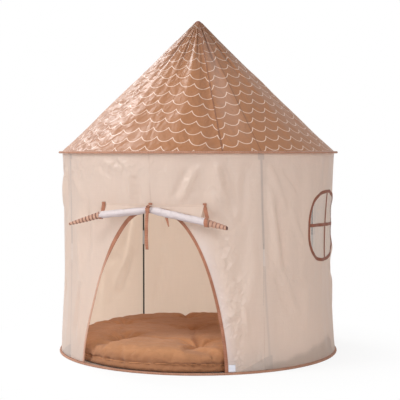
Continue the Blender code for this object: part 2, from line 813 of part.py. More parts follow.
def build_pocket(pole):
    """Add the cloth pocket that holds a pole's foot against the wall."""
    depth = WALL_FOOT_RADIUS - pole.radius + POLE_RADIUS + GAP
    seam = CLOTH + POCKET_SETBACK
    head = WALL_FOOT + POCKET_HEIGHT
    tip = WALL_FOOT + POCKET_TIP_HEIGHT
    places = (
        (POCKET_EDGE, seam, head),
        (POCKET_ROOM, depth, head),
        (-POCKET_ROOM, depth, head),
        (-POCKET_WIDTH, seam, tip),
    )
    sites = []
    for run, inward, height in places:
        angle = pole.foot_angle + run / WALL_MEAN_RADIUS
        sites += [(angle, level, inward) for level in (WALL_FOOT, height)]

    def on_pocket(site, offset):
        """Place an (angle, height, inward) site of the pocket's cloth."""
        angle, height, inward = site
        return on_wall((angle, height), offset - inward)

    builder = bmesh.new()
    cells = [(0, 2, 3, 1), (2, 4, 5, 3), (4, 6, 7, 5)]
    add_shell(builder, sites, cells, on_pocket, 0.0, -POCKET_CLOTH)
    add_node(f"pole_pocket_{pole.name}", builder, "pocket_cloth")


def roll_section(place):
    """Return the roll's centre and radius at a place along X."""
    reach = ROLL_LEFT_REACH if place < 0.0 else ROLL_RIGHT_REACH
    share = place / reach
    for (start, drop, size), (end, next_drop, next_size) in zip(ROLL_SHARES, ROLL_SHARES[1:]):
        if share <= end:
            part = (share - start) / (end - start)
            drop = blend(drop, next_drop, part)
            size = blend(size, next_size, part)
            break
    depth = wall_radius(0.0, SEAM_HEIGHT) + 2.0 * GAP + TIE_THICKNESS + ROLL_RADIUS
    height = SEAM_HEIGHT - ROLL_TOP_DROP - ROLL_END_DROP * drop
    return Vector((place, -depth, height)), ROLL_RADIUS * size


def seam_point(place, offset, height=SEAM_HEIGHT):
    """Return the point of the wall at a place along X, at an offset and a height."""
    radius = wall_radius(math.asin(place / WALL_MEAN_RADIUS), height) + offset
    return Vector((place, -math.sqrt(radius ** 2 - place ** 2), height))


def roll_ring(place, scale):
    """Return the ring of points round the roll at a place, at a scale of its radius."""
    centre, radius = roll_section(place)
    ring = []
    for index in range(ROLL_SIDES):
        angle = TURN * index / ROLL_SIDES
        ring.append(centre + radius * scale * Vector((0.0, math.cos(angle), math.sin(angle))))
    return ring


def build_door_roll():
    """Add the rolled door cloth and, at each end, the stepped layers of its bound edge."""
    hinge = seam_point(0.0, 0.0)
    count = round((ROLL_LEFT_EDGE + ROLL_RIGHT_EDGE) / ROLL_STEP)
    roll = bmesh.new()
    add_rings(roll, [roll_ring(x, 1.0) for x in steps(-ROLL_LEFT_EDGE, ROLL_RIGHT_EDGE, count)])
    add_node("door_roll", roll, "door_cloth", hinge)
    ends = {
        "left": (-ROLL_LEFT_EDGE - GAP, -ROLL_LEFT_REACH),
        "right": (ROLL_RIGHT_EDGE + GAP, ROLL_RIGHT_REACH),
    }
    for name, (start, end) in ends.items():
        places = steps(start, end, ROLL_EDGE_LAYERS)
        rings = []
        for near, far in zip(places, places[1:]):
            rings += [roll_ring(near, 1.0), roll_ring(far, ROLL_EDGE_TAPER_SHARE)]
        edge = bmesh.new()
        add_rings(edge, rings)
        add_node(f"door_roll_edge_{name}", edge, "binding", hinge)


def apron_edge(place):
    """Return the apron's top and bottom points and its outward direction at a place."""
    top = seam_point(place, SEAM_LIFT)
    centre, radius = roll_section(place)
    towards = (top - centre).normalized()
    bottom = centre + (radius + GAP + CLOTH) * towards
    run = bottom - top
    outward = Vector((0.0, run.z, -run.y)).normalized()
    return top, bottom, outward


def on_apron(site, offset):
    """Place a (place, share) site at an offset from the apron's inner face."""
    place, share = site
    top, bottom, outward = apron_edge(place)
    return blend(top, bottom, share) + offset * outward


def build_apron():
    """Add the strip of door cloth between its seam on the wall and the roll."""
    places = steps(-SEAM_HALF_WIDTH, SEAM_HALF_WIDTH, APRON_COLUMNS)
    sites = [(place, share) for share in steps(0.0, 1.0, APRON_ROWS) for place in places]
    builder = bmesh.new()
    add_shell(builder, sites, grid_cells(APRON_COLUMNS, APRON_ROWS), on_apron, CLOTH, 0.0)
    add_node("door_apron", builder, "door_cloth")


def tie_path(place):
    """Return (point, outward direction) pairs along a tie's inner face, from its head."""
    top, bottom, outward = apron_edge(place)
    lift = CLOTH + GAP
    head = top + lift * outward + TIE_HEAD_DROP * (bottom - top).normalized()
    centre, radius = roll_section(place)
    reach = (radius + GAP) / math.cos(TIE_STEP_ANGLE / 2.0)
    towards = bottom - centre
    first = math.atan2(towards.z, towards.y) + TIE_LEAD_ANGLE
    path = [(head, outward), (bottom + lift * outward, outward)]
    for index in range(TIE_STEPS):
        angle = first + index * TIE_STEP_ANGLE
        away = Vector((0.0, math.cos(angle), math.sin(angle)))
        path.append((centre + reach * away, away))
    return path


def add_tie(builder, place):
    """Add one ribbon that hangs from the seam and goes round the roll."""
    half = TIE_WIDTH / 2.0
    left = tie_path(place - half)
    right = tie_path(place + half)
    rings = []
    for (near, near_out), (far, far_out) in zip(left, right):
        near_face = near + TIE_THICKNESS * near_out
        far_face = far + TIE_THICKNESS * far_out
        rings.append([near, far, far_face, near_face])
    add_rings(builder, rings)


def knot_centre():
    """Return the middle of the knot's rear face."""
    centre = roll_section(0.0)[0]
    radius = max(roll_section(edge)[1] for edge in (-TIE_WIDTH / 2.0, TIE_WIDTH / 2.0))
    reach = (radius + GAP + TIE_THICKNESS) / math.cos(TIE_STEP_ANGLE / 2.0) + GAP
    return centre - Vector((0.0, reach, 0.0))


def tail_pivot():
    """Return the point that the long tail hangs from."""
    centre = knot_centre()
    drop = KNOT_HEIGHT / 2.0 + GAP + TIE_THICKNESS / 2.0
    return Vector((0.0, centre.y - KNOT_DEPTH / 2.0, centre.z - drop))


def add_strip(builder, path, width, thickness):
    """Add a hanging ribbon from (point, width share) pairs, flat to the front."""
    rings = []
    for point, share in path:
        half = width * share / 2.0
        depth = thickness / 2.0
        corners = ((-half, -depth), (half, -depth), (half, depth), (-half, depth))
        rings.append([point + Vector((across, back, 0.0)) for across, back in corners])
    add_rings(builder, rings)


def build_ties():
    """Add the three ties, the knot of the middle one and its two loose tails."""
    hinge = seam_point(0.0, 0.0)
    for name, place in TIE_PLACES.items():
        builder = bmesh.new()
        add_tie(builder, place)
        add_node(f"door_tie_{name}", builder, "binding", hinge)
    rear = knot_centre()
    rings = []
    for drop_share, width_share in ((-1.0, 0.6), (-0.6, 1.0), (0.6, 1.0), (1.0, 0.6)):
        half = KNOT_WIDTH / 2.0 * width_share
        height = rear.z - KNOT_HEIGHT / 2.0 * drop_share
        front = rear.y - KNOT_DEPTH * width_share
        corners = ((-half, rear.y), (half, rear.y), (half, front), (-half, front))
        rings.append([Vector((across, back, height)) for across, back in corners])
    knot = bmesh.new()
    add_rings(knot, rings)
    add_node("door_tie_knot", knot, "binding", hinge)

    pivot = tail_pivot()
    path = []
    for share in steps(0.0, 1.0, TAIL_STEPS):
        bow = TAIL_BOW * math.sin(math.pi * share)
        path.append((pivot - Vector((bow, 0.0, TAIL_LENGTH * share)), 1.0))
    tail = bmesh.new()
    add_strip(tail, path, TAIL_WIDTH, TIE_THICKNESS)
    add_node("tie_tail", tail, "binding", pivot)

    half = TAIL_WIDTH / 2.0
    ends = [roll_section(INNER_TAIL_PLACE + edge) for edge in (-half, half)]
    start = roll_section(INNER_TAIL_PLACE)[0]
    start.z = min(centre.z - radius for centre, radius in ends) - GAP
    path = []
    for share in steps(0.0, 1.0, INNER_TAIL_STEPS):
        bow = TAIL_BOW * share
        point = start + Vector((bow, 0.0, -INNER_TAIL_LENGTH * share))
        path.append((point, blend(1.0, 1.0 / 4.0, share)))
    inner = bmesh.new()
    add_strip(inner, path, TAIL_WIDTH, TIE_THICKNESS)
    add_node("tie_end_inner", inner, "binding", hinge)


def build_patch():
    """Add the hook-and-loop patch beside the door's right foot."""
    start = door_outline(BINDING_WIDTH / 2.0 + 2.0 * GAP)[-1][0] + 2.0 * GAP / WALL_MEAN_RADIUS
    angles = (start, start + PATCH_SIZE / WALL_MEAN_RADIUS)
    heights = (WALL_FOOT, WALL_FOOT + PATCH_SIZE)
    sites = [(angle, height) for height in heights for angle in angles]
    builder = bmesh.new()
    add_shell(builder, sites, grid_cells(1, 1), on_wall, 2.0 * GAP + PATCH_THICKNESS, 2.0 * GAP)
    add_node("door_hook_patch", builder, "hook_tape")


def tuft_dip(angle, radius):
    """Return how far the mattress's tufts pull its top down at a place."""
    places = [Vector((0.0, 0.0, 0.0))]
    for index in range(TUFT_COUNT):
        turn = TUFT_FIRST_ANGLE + TURN * index / TUFT_COUNT
        places.append(around(turn, TUFT_RING_RADIUS, 0.0))
    here = around(angle, radius, 0.0)
    pulls = [math.exp(-((here - place).length / TUFT_REACH) ** 2) for place in places]
    return TUFT_DEPTH * max(pulls)


def build_mattress():
    """Add the round mattress with its crown, drawn-in side seam and sewn tufts."""
    middle = Vector((0.0, -MATTRESS_SHIFT, CLOTH + GAP))
    angles = [TURN * index / MATTRESS_SEGMENTS for index in range(MATTRESS_SEGMENTS)]
    rings = []
    for radius_share, height_share in MATTRESS_SHARES:
        radius = MATTRESS_RADIUS * radius_share
        height = MATTRESS_HEIGHT * height_share
        ring = []
        for angle in angles:
            dip = tuft_dip(angle, radius) * height_share ** TUFT_FADE_POWER
            ring.append(middle + around(angle, radius, height - dip))
        rings.append(ring)
    builder = bmesh.new()
    add_rings(builder, rings)
    add_node("mattress", builder, "mattress_cloth", middle)


def main():
    """Build the whole tent."""
    clear_scene()
    build_hoops_and_casings()
    build_floor()
    build_front_wall()
    build_rear_wall()
    build_door_binding()
    for side in WINDOW_ANGLES:
        build_window_wall(side)
        build_window_binding(side)
        build_window_net(side)
        build_window_muntins(side)
    build_roof()
    poles = [Pole(name) for name in POLE_ANGLES]
    for pole in poles:
        build_pole(pole)
        build_pocket(pole)
    build_hub(poles)
    build_door_roll()
    build_apron()
    build_ties()
    build_patch()
    build_mattress()


main()
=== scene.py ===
"""Looks of a round play tent: cloth walls, printed roof, bindings, rolled door and mattress."""

import logging
import math
from dataclasses import astuple, dataclass, field
from enum import Enum

import bmesh
import bpy
import numpy as np
from bpy.types import Material, NodeSocket, NodeTree, Object
from mathutils import Matrix, Vector, noise


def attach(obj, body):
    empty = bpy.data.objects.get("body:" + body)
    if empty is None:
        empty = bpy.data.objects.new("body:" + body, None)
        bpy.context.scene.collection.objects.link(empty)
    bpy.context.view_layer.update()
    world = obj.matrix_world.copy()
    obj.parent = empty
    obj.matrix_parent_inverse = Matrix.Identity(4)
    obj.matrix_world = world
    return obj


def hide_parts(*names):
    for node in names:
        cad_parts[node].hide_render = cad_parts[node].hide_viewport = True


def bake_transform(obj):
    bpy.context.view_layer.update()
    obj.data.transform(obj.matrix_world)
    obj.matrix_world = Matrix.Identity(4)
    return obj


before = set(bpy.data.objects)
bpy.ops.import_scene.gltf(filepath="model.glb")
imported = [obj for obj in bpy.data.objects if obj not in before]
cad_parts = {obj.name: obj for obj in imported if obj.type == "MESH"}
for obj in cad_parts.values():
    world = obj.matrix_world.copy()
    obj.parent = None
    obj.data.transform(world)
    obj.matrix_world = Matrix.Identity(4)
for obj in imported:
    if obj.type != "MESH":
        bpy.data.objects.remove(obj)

log = logging.getLogger("tent")
TURN = 2.0 * math.pi
CLOTH_UV = "cloth"
PANEL_LIMIT = math.pi / 4.0 - 0.0003


class Slot(Enum):
    """Material slots of the record that the pieces take their finish from."""

    WALL = "wall_cloth"
    ROOF = "roof_cloth"
    BINDING = "binding"
    FLOOR = "floor_cloth"
    NET = "net"
    DOOR = "door_cloth"
    POCKET = "pocket_cloth"
    HOOK = "hook_tape"
    MATTRESS = "mattress_cloth"


class Hold(Enum):
    """How a sheet of cloth is held."""

    HUNG = "hung"
    STRETCHED = "stretched"
    LAID = "laid"


def linear(hex_colour: str) -> tuple[float, float, float, float]:
    """Turn an sRGB hex colour into a linear one.

    Args:
        hex_colour: six hex digits, with or without a leading hash.

    Returns:
        Red, green and blue as linear values, with an alpha of one.
    """
    digits = hex_colour.lstrip("#")
    parts = [int(digits[i : i + 2], 16) / 255.0 for i in (0, 2, 4)]
    curve = [p / 12.92 if p <= 0.04045 else ((p + 0.055) / 1.055) ** 2.4 for p in parts]
    return (*curve, 1.0)


def add_node(tree: NodeTree, kind: str, values: dict | None = None, out: int | str = 0,
             **settings) -> NodeSocket:
    """Add a shader node with its settings and links.

    Args:
        tree: node tree that gets the node.
        kind: the node's type name, without the ShaderNode that it starts with.
        values: input name or number to a constant or to the socket that feeds it.
        out: name or number of the output that is wanted.
        **settings: properties of the node itself.

    Returns:
        The chosen output socket.
    """
    node = tree.nodes.new(f"ShaderNode{kind}")
    for key, value in settings.items():
        setattr(node, key, value)
    for name, value in (values or {}).items():
        socket = node.inputs[name]
        if isinstance(value, NodeSocket):
            tree.links.new(value, socket)
        else:
            socket.default_value = value
    return node.outputs[out]


def new_material(name: str) -> tuple[Material, NodeTree]:
    """Return an empty node material and its tree.

    Args:
        name: the material's name.

    Returns:
        The material and its empty node tree.
    """
    material = bpy.data.materials.new(name)
    material.use_nodes = True
    material.node_tree.nodes.clear()
    return material, material.node_tree


def set_surface(tree: NodeTree, shader: NodeSocket) -> None:
    """Link a shader to the material's output.

    Args:
        tree: the material's node tree.
        shader: the shader that it ends in.
    """
    output = tree.nodes.new("ShaderNodeOutputMaterial")
    tree.links.new(shader, output.inputs["Surface"])


def held_to_one(values: np.ndarray) -> np.ndarray:
    """Return values held between 0 and 1."""
    return np.clip(values, 0.0, 1.0)


def bell(apart: np.ndarray, width: np.ndarray) -> np.ndarray:
    """Return a bell curve: 1 where nothing is apart, fading past a width."""
    return np.exp(-((apart / width) ** 2))


@dataclass(frozen=True)
class ScallopPrint:
    """Rows of thin scallops in a pale ink, in metres on the flat gore."""

    width: float = 0.0604
    row: float = 0.0490
    depth: float = 0.0235
    power: float = 2.3
    line: float = 0.0016
    first_row: float = 0.0255
    first_cusp: float = -0.0040
    slack: float = 0.004
    ink: str = "F6DCCB"
    ink_share: float = 0.80

    def mask(self, tree: NodeTree, place: NodeSocket) -> NodeSocket:
        """Return where the scallops are printed, one where the ink is.

        Args:
            tree: the cloth's node tree.
            place: the flat cloth's coordinates.

        Returns:
            The share of ink.
        """
        uv = tree.nodes.new("ShaderNodeSeparateXYZ")
        tree.links.new(place, uv.inputs[0])
        known = {"across": uv.outputs[0], "up": uv.outputs[1]}
        slope = self.depth * self.power / (self.width / 2.0)
        for name, kind, *terms in (
            ("lifted", "SUBTRACT", "up", self.first_row + self.slack),
            ("rows", "DIVIDE", "lifted", self.row),
            ("number", "CEIL", "rows"),
            ("odd", "FLOORED_MODULO", "number", 2.0),
            ("from_cusp", "SUBTRACT", "across", self.first_cusp),
            ("steps", "DIVIDE", "from_cusp", self.width),
            ("shifted", "MULTIPLY_ADD", "odd", -0.5, "steps"),
            ("part", "FRACT", "shifted"),
            ("local", "MULTIPLY_ADD", "part", 2.0, -1.0),
            ("reach", "ABSOLUTE", "local"),
            ("curve", "POWER", "reach", self.power),
            ("bottom", "MULTIPLY_ADD", "number", self.row, self.first_row - self.depth),
            ("arc", "MULTIPLY_ADD", "curve", self.depth, "bottom"),
            ("gap", "SUBTRACT", "up", "arc"),
            ("apart", "ABSOLUTE", "gap"),
            ("flatter", "POWER", "reach", self.power - 1.0),
            ("slope", "MULTIPLY", "flatter", slope),
            ("square", "MULTIPLY_ADD", "slope", "slope", 1.0),
            ("length", "SQRT", "square"),
            ("near", "DIVIDE", "apart", "length"),
        ):
            values = {index: known.get(term, term) for index, term in enumerate(terms)}
            known[name] = add_node(tree, "Math", values, operation=kind)
        return add_node(tree, "MapRange",
            {"Value": known["near"], "From Min": self.line * 1.2, "From Max": self.line * 0.7})


@dataclass(frozen=True)
class PaintedShowThrough:
    """Painted shadow of the frame's parts behind the thin wall: rod, ferrule, elbow and pocket, in metres,
    with a painted pale glint on the ferrule.

    The attribute "pole" holds 0.5 at a pole's line and grows by one over 0.3 m to its right.
    """

    span: float = 0.3
    rod: float = 0.0036
    ferrule_low: float = 0.378
    ferrule_high: float = 0.438
    elbow_foot: float = 0.756
    elbow_half: float = 0.012
    pocket_foot: float = 0.0129
    pocket_rise: float = 0.046
    pocket_reach: float = 0.110
    pocket_edge: float = 0.011
    colour: str = "8B8C93"
    ferrule: str = "F2F0F2"
    roof: bool = False

    def tint(self, tree: NodeTree, place: NodeSocket, cloth: NodeSocket) -> NodeSocket:
        """Return the cloth's colour with the painted shadow of the parts behind it and the ferrule's painted
        glint.

        Args:
            tree: the cloth's node tree.
            place: the flat cloth's coordinates.
            cloth: the cloth's own colour.

        Returns:
            The mixed colour.
        """
        uv = tree.nodes.new("ShaderNodeSeparateXYZ")
        tree.links.new(place, uv.inputs[0])
        mark = add_node(tree, "Attribute", out="Fac", attribute_name="pole")
        run = add_node(tree, "Math", {0: mark, 1: self.span, 2: -self.span / 2.0}, operation="MULTIPLY_ADD")
        known = {"run": run, "up": uv.outputs[1],
            "apart": add_node(tree, "Math", {0: run}, operation="ABSOLUTE")}
        # on the roof only the pole's line is painted, as dark painted shade
        if self.roof:
            line = add_node(tree, "MapRange", {"Value": known["apart"], "From Min": self.rod + 0.0020,
                "From Max": self.rod - 0.0010, "To Max": 0.62})
            return add_node(tree, "MixRGB", {0: line, 1: cloth, 2: linear(self.colour)})
        known["top"] = add_node(tree, "MapRange", {"Value": run, "From Min": -self.pocket_reach,
            "From Max": 0.0, "To Min": self.pocket_foot, "To Max": self.pocket_foot + self.pocket_rise})
        known["over"] = add_node(tree, "Math", {0: known["up"], 1: known["top"]}, operation="SUBTRACT")
        for name, source, start, end in (
            ("line", "apart", self.rod + 0.0022, self.rod - 0.0010),
            ("upper", "up", self.ferrule_high - 0.002, self.ferrule_high + 0.002),
            ("lower", "up", self.ferrule_low + 0.002, self.ferrule_low - 0.002),
            ("elbow", "up", self.elbow_foot - 0.002, self.elbow_foot + 0.002),
            ("broad", "apart", self.elbow_half + 0.002, self.elbow_half - 0.001),
            ("under", "over", 0.0015, -0.0015),
            ("right", "run", self.pocket_edge + 0.002, self.pocket_edge),
            ("left", "run", -self.pocket_reach - 0.001, -self.pocket_reach + 0.002),
        ):
            known[name] = add_node(tree, "MapRange",
                {"Value": known[source], "From Min": start, "From Max": end})
        for name, kind, *terms in (
            ("rods", "MULTIPLY_ADD", "upper", 0.42, 0.0),
            ("both", "MULTIPLY_ADD", "lower", 0.20, "rods"),
            ("rod_share", "MULTIPLY", "both", "line"),
            ("elbow_both", "MULTIPLY", "elbow", "broad"),
            ("elbow_share", "MULTIPLY", "elbow_both", 0.42),
            ("sides", "MULTIPLY", "left", "right"),
            ("pocket", "MULTIPLY", "sides", "under"),
            ("pocket_share", "MULTIPLY", "pocket", 0.30),
            ("most", "MAXIMUM", "rod_share", "elbow_share"),
            ("grey", "MAXIMUM", "most", "pocket_share"),
            ("rest", "ADD", "upper", "lower"),
            ("tube", "SUBTRACT", 1.0, "rest"),
            ("bright", "MULTIPLY", "tube", "line"),
            ("white", "MULTIPLY", "bright", 0.35),
        ):
            values = {index: known.get(term, term) for index, term in enumerate(terms)}
            known[name] = add_node(tree, "Math", values, operation=kind)
        # painted shade of rod, elbow and pocket, then the ferrule's painted pale glint
        dimmed = add_node(tree, "MixRGB", {0: known["grey"], 1: cloth, 2: linear(self.colour)})
        return add_node(tree, "MixRGB", {0: known["white"], 1: dimmed, 2: linear(self.ferrule)})


@dataclass(frozen=True)
class Taffeta:
    """Thin woven polyester: matt with a soft sheen, and light from behind glows through it.

    Threads are about 0.2 mm apart, too fine to show, so slubs are drawn 2 mm wide.
    """

    name: str
    colour: str
    glow: str
    through: float = 0.35
    roughness: float = 0.58
    slub_mm: float = 2.0
    crinkle_mm: float = 38.0
    crinkle_stretch: float = 2.0
    crinkle_depth: float = 0.0012
    shade: str = "77746F"
    # colour of the painted highlight laid by the pale mark
    pale: str = "F3EBEC"
    thread: str = "6E4634"
    tone: float = 0.95
    sheen: float = 0.25
    gloss: float = 0.35
    crinkle_share: float = 0.8
    crumple_mm: float = 26.0
    crumple_depth: float = 0.0050
    seam_share: float = 0.20
    scallops: ScallopPrint | None = None
    behind: PaintedShowThrough | None = None

    def slubs(self, tree: NodeTree, place: NodeSocket) -> NodeSocket:
        """Return a value that varies along single threads of warp and weft.

        Args:
            tree: the cloth's node tree.
            place: the flat cloth's coordinates.

        Returns:
            The value's socket.
        """
        width, length = 1000.0 / self.slub_mm, 1000.0 / (self.slub_mm * 45.0)
        both = []
        for scale in ((width, length, 1.0), (length, width, 1.0)):
            run = add_node(tree, "Mapping", {"Vector": place, "Scale": scale})
            both.append(add_node(tree, "TexNoise", {"Vector": run, "Scale": 1.0, "Detail": 2.0}))
        return add_node(tree, "Math", {0: both[0], 1: both[1]}, operation="MULTIPLY")

    def crinkles(self, tree: NodeTree, place: NodeSocket) -> NodeSocket:
        """Return the height of the soft creases that folding and packing leave in the cloth.

        Args:
            tree: the cloth's node tree.
            place: the flat cloth's coordinates.

        Returns:
            The height's socket.
        """
        bend = add_node(tree, "TexNoise", {"Vector": place, "Scale": 7.0, "Detail": 1.0}, "Color")
        bent = add_node(tree, "MixRGB", {0: 0.07, 1: place, 2: bend}, blend_type="LINEAR_LIGHT")
        scale = (1000.0 / self.crinkle_mm, 1000.0 / (self.crinkle_mm * self.crinkle_stretch), 1.0)
        run = add_node(tree, "Mapping",
            {"Vector": bent, "Scale": scale, "Rotation": (0.0, 0.0, math.radians(8.0))})
        return add_node(tree, "TexNoise", {"Vector": run, "Scale": 0.8, "Detail": 2.0})

    def crumples(self, tree: NodeTree, place: NodeSocket) -> NodeSocket:
        """Return the height of the sharp small folds, where the cloth is marked as crumpled.

        Args:
            tree: the cloth's node tree.
            place: the flat cloth's coordinates.

        Returns:
            The height's socket.
        """
        bend = add_node(tree, "TexNoise", {"Vector": place, "Scale": 19.0, "Detail": 1.0}, "Color")
        bent = add_node(tree, "MixRGB", {0: 0.05, 1: place, 2: bend}, blend_type="LINEAR_LIGHT")
        turned = add_node(tree, "Mapping",
            {"Vector": bent, "Scale": (1.0, 0.6, 1.0), "Rotation": (0.0, 0.0, math.radians(-28.0))})
        facets = add_node(tree, "TexVoronoi", {"Vector": turned, "Scale": 1000.0 / self.crumple_mm})
        amount = add_node(tree, "Attribute", out="Fac", attribute_name="crumple")
        return add_node(tree, "Math", {0: facets, 1: amount}, operation="MULTIPLY")

    def build(self) -> Material:
        """Return the material."""
        material, tree = new_material(self.name)
        place = add_node(tree, "UVMap", out="UV", uv_map=CLOTH_UV)
        slubs = self.slubs(tree, place)
        dark = [c * self.tone for c in linear(self.colour)[:3]] + [1.0]
        tint = add_node(tree, "MapRange", {"Value": slubs, "From Min": 0.15, "From Max": 0.40})
        cloth = add_node(tree, "MixRGB", {0: tint, 1: dark, 2: linear(self.colour)})
        glow = linear(self.glow)
        if self.scallops:
            ink = add_node(tree, "Math", {0: self.scallops.mask(tree, place), 1: self.scallops.ink_share},
                operation="MULTIPLY")
            cloth = add_node(tree, "MixRGB", {0: ink, 1: cloth, 2: linear(self.scallops.ink)})
        # painted shadow of the frame behind the cloth
        if self.behind:
            cloth = self.behind.tint(tree, place, cloth)
        # the shade mark lays painted shade and the pale mark a painted highlight
        for mark, colour in (("shade", self.shade), ("pale", self.pale)):
            amount = add_node(tree, "Attribute", out="Fac", attribute_name=mark)
            cloth = add_node(tree, "MixRGB", {0: amount, 1: cloth, 2: linear(colour)})
        seam = add_node(tree, "Attribute", out="Fac", attribute_name="seam")
        stitched = add_node(tree, "MapRange",
            {"Value": seam, "From Min": 0.0042, "From Max": 0.0008, "To Max": self.seam_share})
        cloth = add_node(tree, "MixRGB", {0: stitched, 1: cloth, 2: linear(self.thread)})
        height = self.crinkles(tree, place)
        bump = add_node(tree, "Bump",
            {"Height": height, "Strength": self.crinkle_share, "Distance": self.crinkle_depth})
        bump = add_node(tree, "Bump", {"Height": self.crumples(tree, place), "Strength": 1.0,
            "Distance": self.crumple_depth, "Normal": bump})
        bump = add_node(tree, "Bump", {"Height": slubs, "Strength": 0.25, "Distance": 0.0003, "Normal": bump})
        rough = add_node(tree, "MapRange", {"Value": slubs, "From Min": 0.1, "From Max": 0.5,
            "To Min": self.roughness - 0.05, "To Max": self.roughness + 0.07})
        front = add_node(tree, "BsdfPrincipled", {"Base Color": cloth, "Roughness": rough, "Normal": bump,
            "Specular IOR Level": self.gloss, "Sheen Weight": self.sheen, "Sheen Roughness": 0.4})
        back = add_node(tree, "BsdfTranslucent", {"Color": glow, "Normal": bump})
        set_surface(tree, add_node(tree, "MixShader", {0: self.through, 1: front, 2: back}))
        return material


@dataclass(frozen=True)
class WovenTape:
    """Woven polyester edging: matt, ribbed across every millimetre, stitched near both edges.

    The ribs are drawn 3 mm apart, because the real ones are too fine to show.
    """

    name: str
    colour: str
    shade: str
    # colour of the painted shade in the gaps between turns of tape
    gap_shade: str = "4C3029"
    # lighter colour: the turned-in cloth on the door's binding, and a painted highlight on the turns of the
    # roll's ends
    pale: str = "DDB9A6"
    rib_mm: float = 3.0
    roughness: float = 0.75

    def build(self) -> Material:
        """Return the material."""
        material, tree = new_material(self.name)
        place = add_node(tree, "UVMap", out="UV", uv_map=CLOTH_UV)
        ribs = add_node(tree, "TexWave", {"Vector": place, "Scale": 1000.0 / self.rib_mm / TURN,
            "Distortion": 0.6, "Detail": 1.0}, bands_direction="X")
        wear_and_side_shade = add_node(tree, "TexNoise", {"Vector": place, "Scale": 38.0, "Detail": 4.0})
        mixed = add_node(tree, "Math", {0: ribs, 1: 0.35, 2: wear_and_side_shade}, operation="MULTIPLY_ADD")
        tone = add_node(tree, "MapRange", {"Value": mixed, "From Min": 0.35, "From Max": 0.95})
        cloth = add_node(tree, "MixRGB", {0: tone, 1: linear(self.shade), 2: linear(self.colour)})
        # painted shade in the gaps; the pale mark is the binding's lighter turned-in cloth and a painted
        # highlight on the roll's ends
        for mark, colour in (("gap", self.gap_shade), ("pale", self.pale)):
            amount = add_node(tree, "Attribute", out="Fac", attribute_name=mark)
            cloth = add_node(tree, "MixRGB", {0: amount, 1: cloth, 2: linear(colour)})
        bump = add_node(tree, "Bump", {"Height": mixed, "Strength": 0.5, "Distance": 0.0004})
        shader = add_node(tree, "BsdfPrincipled", {"Base Color": cloth, "Roughness": self.roughness,
            "Normal": bump, "Specular IOR Level": 0.20, "Sheen Weight": 0.08, "Sheen Roughness": 0.5})
        set_surface(tree, shader)
        return material


@dataclass(frozen=True)
class Muslin:
    """Crinkled cotton double gauze: dry and matt, with fine wrinkles that run one way."""

    name: str
    colour: str
    shade: str
    # colour and share of the painted shade on the mattress's low side band
    wear_and_side_shade: str = "85583F"
    side_shade_share: float = 0.55
    wrinkle_mm: float = 9.0

    def build(self) -> Material:
        """Return the material."""
        material, tree = new_material(self.name)
        place = add_node(tree, "TexCoord", out="Object")
        long_run = add_node(tree, "Mapping", {"Vector": place, "Scale": (1000.0 / self.wrinkle_mm / 3.0,
            1000.0 / self.wrinkle_mm, 60.0), "Rotation": (0.0, 0.0, math.radians(19.0))})
        fine = add_node(tree, "TexNoise",
            {"Vector": long_run, "Scale": 1.0, "Detail": 3.0, "Distortion": 0.8})
        wide = add_node(tree, "TexNoise", {"Vector": place, "Scale": 16.0, "Detail": 3.0})
        thread = add_node(tree, "TexNoise", {"Vector": place, "Scale": 650.0, "Detail": 1.0})
        both = add_node(tree, "Math", {0: fine, 1: 0.7, 2: wide}, operation="MULTIPLY_ADD")
        tone = add_node(tree, "MapRange", {"Value": both, "From Min": 0.45, "From Max": 1.25})
        cloth = add_node(tree, "MixRGB", {0: tone, 1: linear(self.shade), 2: linear(self.colour)})
        # painted shade: the mattress's low side band is darkened
        wear_and_side_shade = add_node(tree, "Attribute", out="Fac", attribute_name="wear_and_side_shade")
        wear_and_side_shade = add_node(tree, "Math", {0: wear_and_side_shade, 1: self.side_shade_share}, operation="MULTIPLY")
        cloth = add_node(tree, "MixRGB", {0: wear_and_side_shade, 1: cloth, 2: linear(self.wear_and_side_shade)})
        bump = add_node(tree, "Bump", {"Height": fine, "Strength": 0.9, "Distance": 0.0040})
        bump = add_node(tree, "Bump", {"Height": thread, "Strength": 0.3, "Distance": 0.0004, "Normal": bump})
        shader = add_node(tree, "BsdfPrincipled", {"Base Color": cloth, "Roughness": 0.92, "Normal": bump,
            "Specular IOR Level": 0.15, "Sheen Weight": 0.12, "Sheen Roughness": 0.6})
        set_surface(tree, shader)
        return material


@dataclass(frozen=True)
class Netting:
    """Knitted polyester net: fine threads with holes that let most of the view through.

    The real holes are 1.5 mm wide. They are drawn 4 mm apart so that the threads still show.
    """

    name: str
    colour: str
    mesh_mm: float = 4.0
    thread_share: float = 0.30

    def build(self) -> Material:
        """Return the material."""
        material, tree = new_material(self.name)
        place = add_node(tree, "UVMap", out="UV", uv_map=CLOTH_UV)
        scaled = add_node(tree, "Mapping", {"Vector": place, "Scale": (1000.0 / self.mesh_mm,) * 3})
        axes = tree.nodes.new("ShaderNodeSeparateXYZ")
        tree.links.new(scaled, axes.inputs[0])
        lines = []
        for axis in (0, 1):
            part = add_node(tree, "Math", {0: axes.outputs[axis]}, operation="FRACT")
            lines.append(add_node(tree, "Math", {0: part, 1: self.thread_share}, operation="LESS_THAN"))
        thread = add_node(tree, "Math", {0: lines[0], 1: lines[1]}, operation="MAXIMUM")
        cloth = add_node(tree, "BsdfPrincipled",
            {"Base Color": linear(self.colour), "Roughness": 0.85, "Specular IOR Level": 0.2})
        clear = add_node(tree, "BsdfTransparent")
        set_surface(tree, add_node(tree, "MixShader", {0: thread, 1: clear, 2: cloth}))
        return material


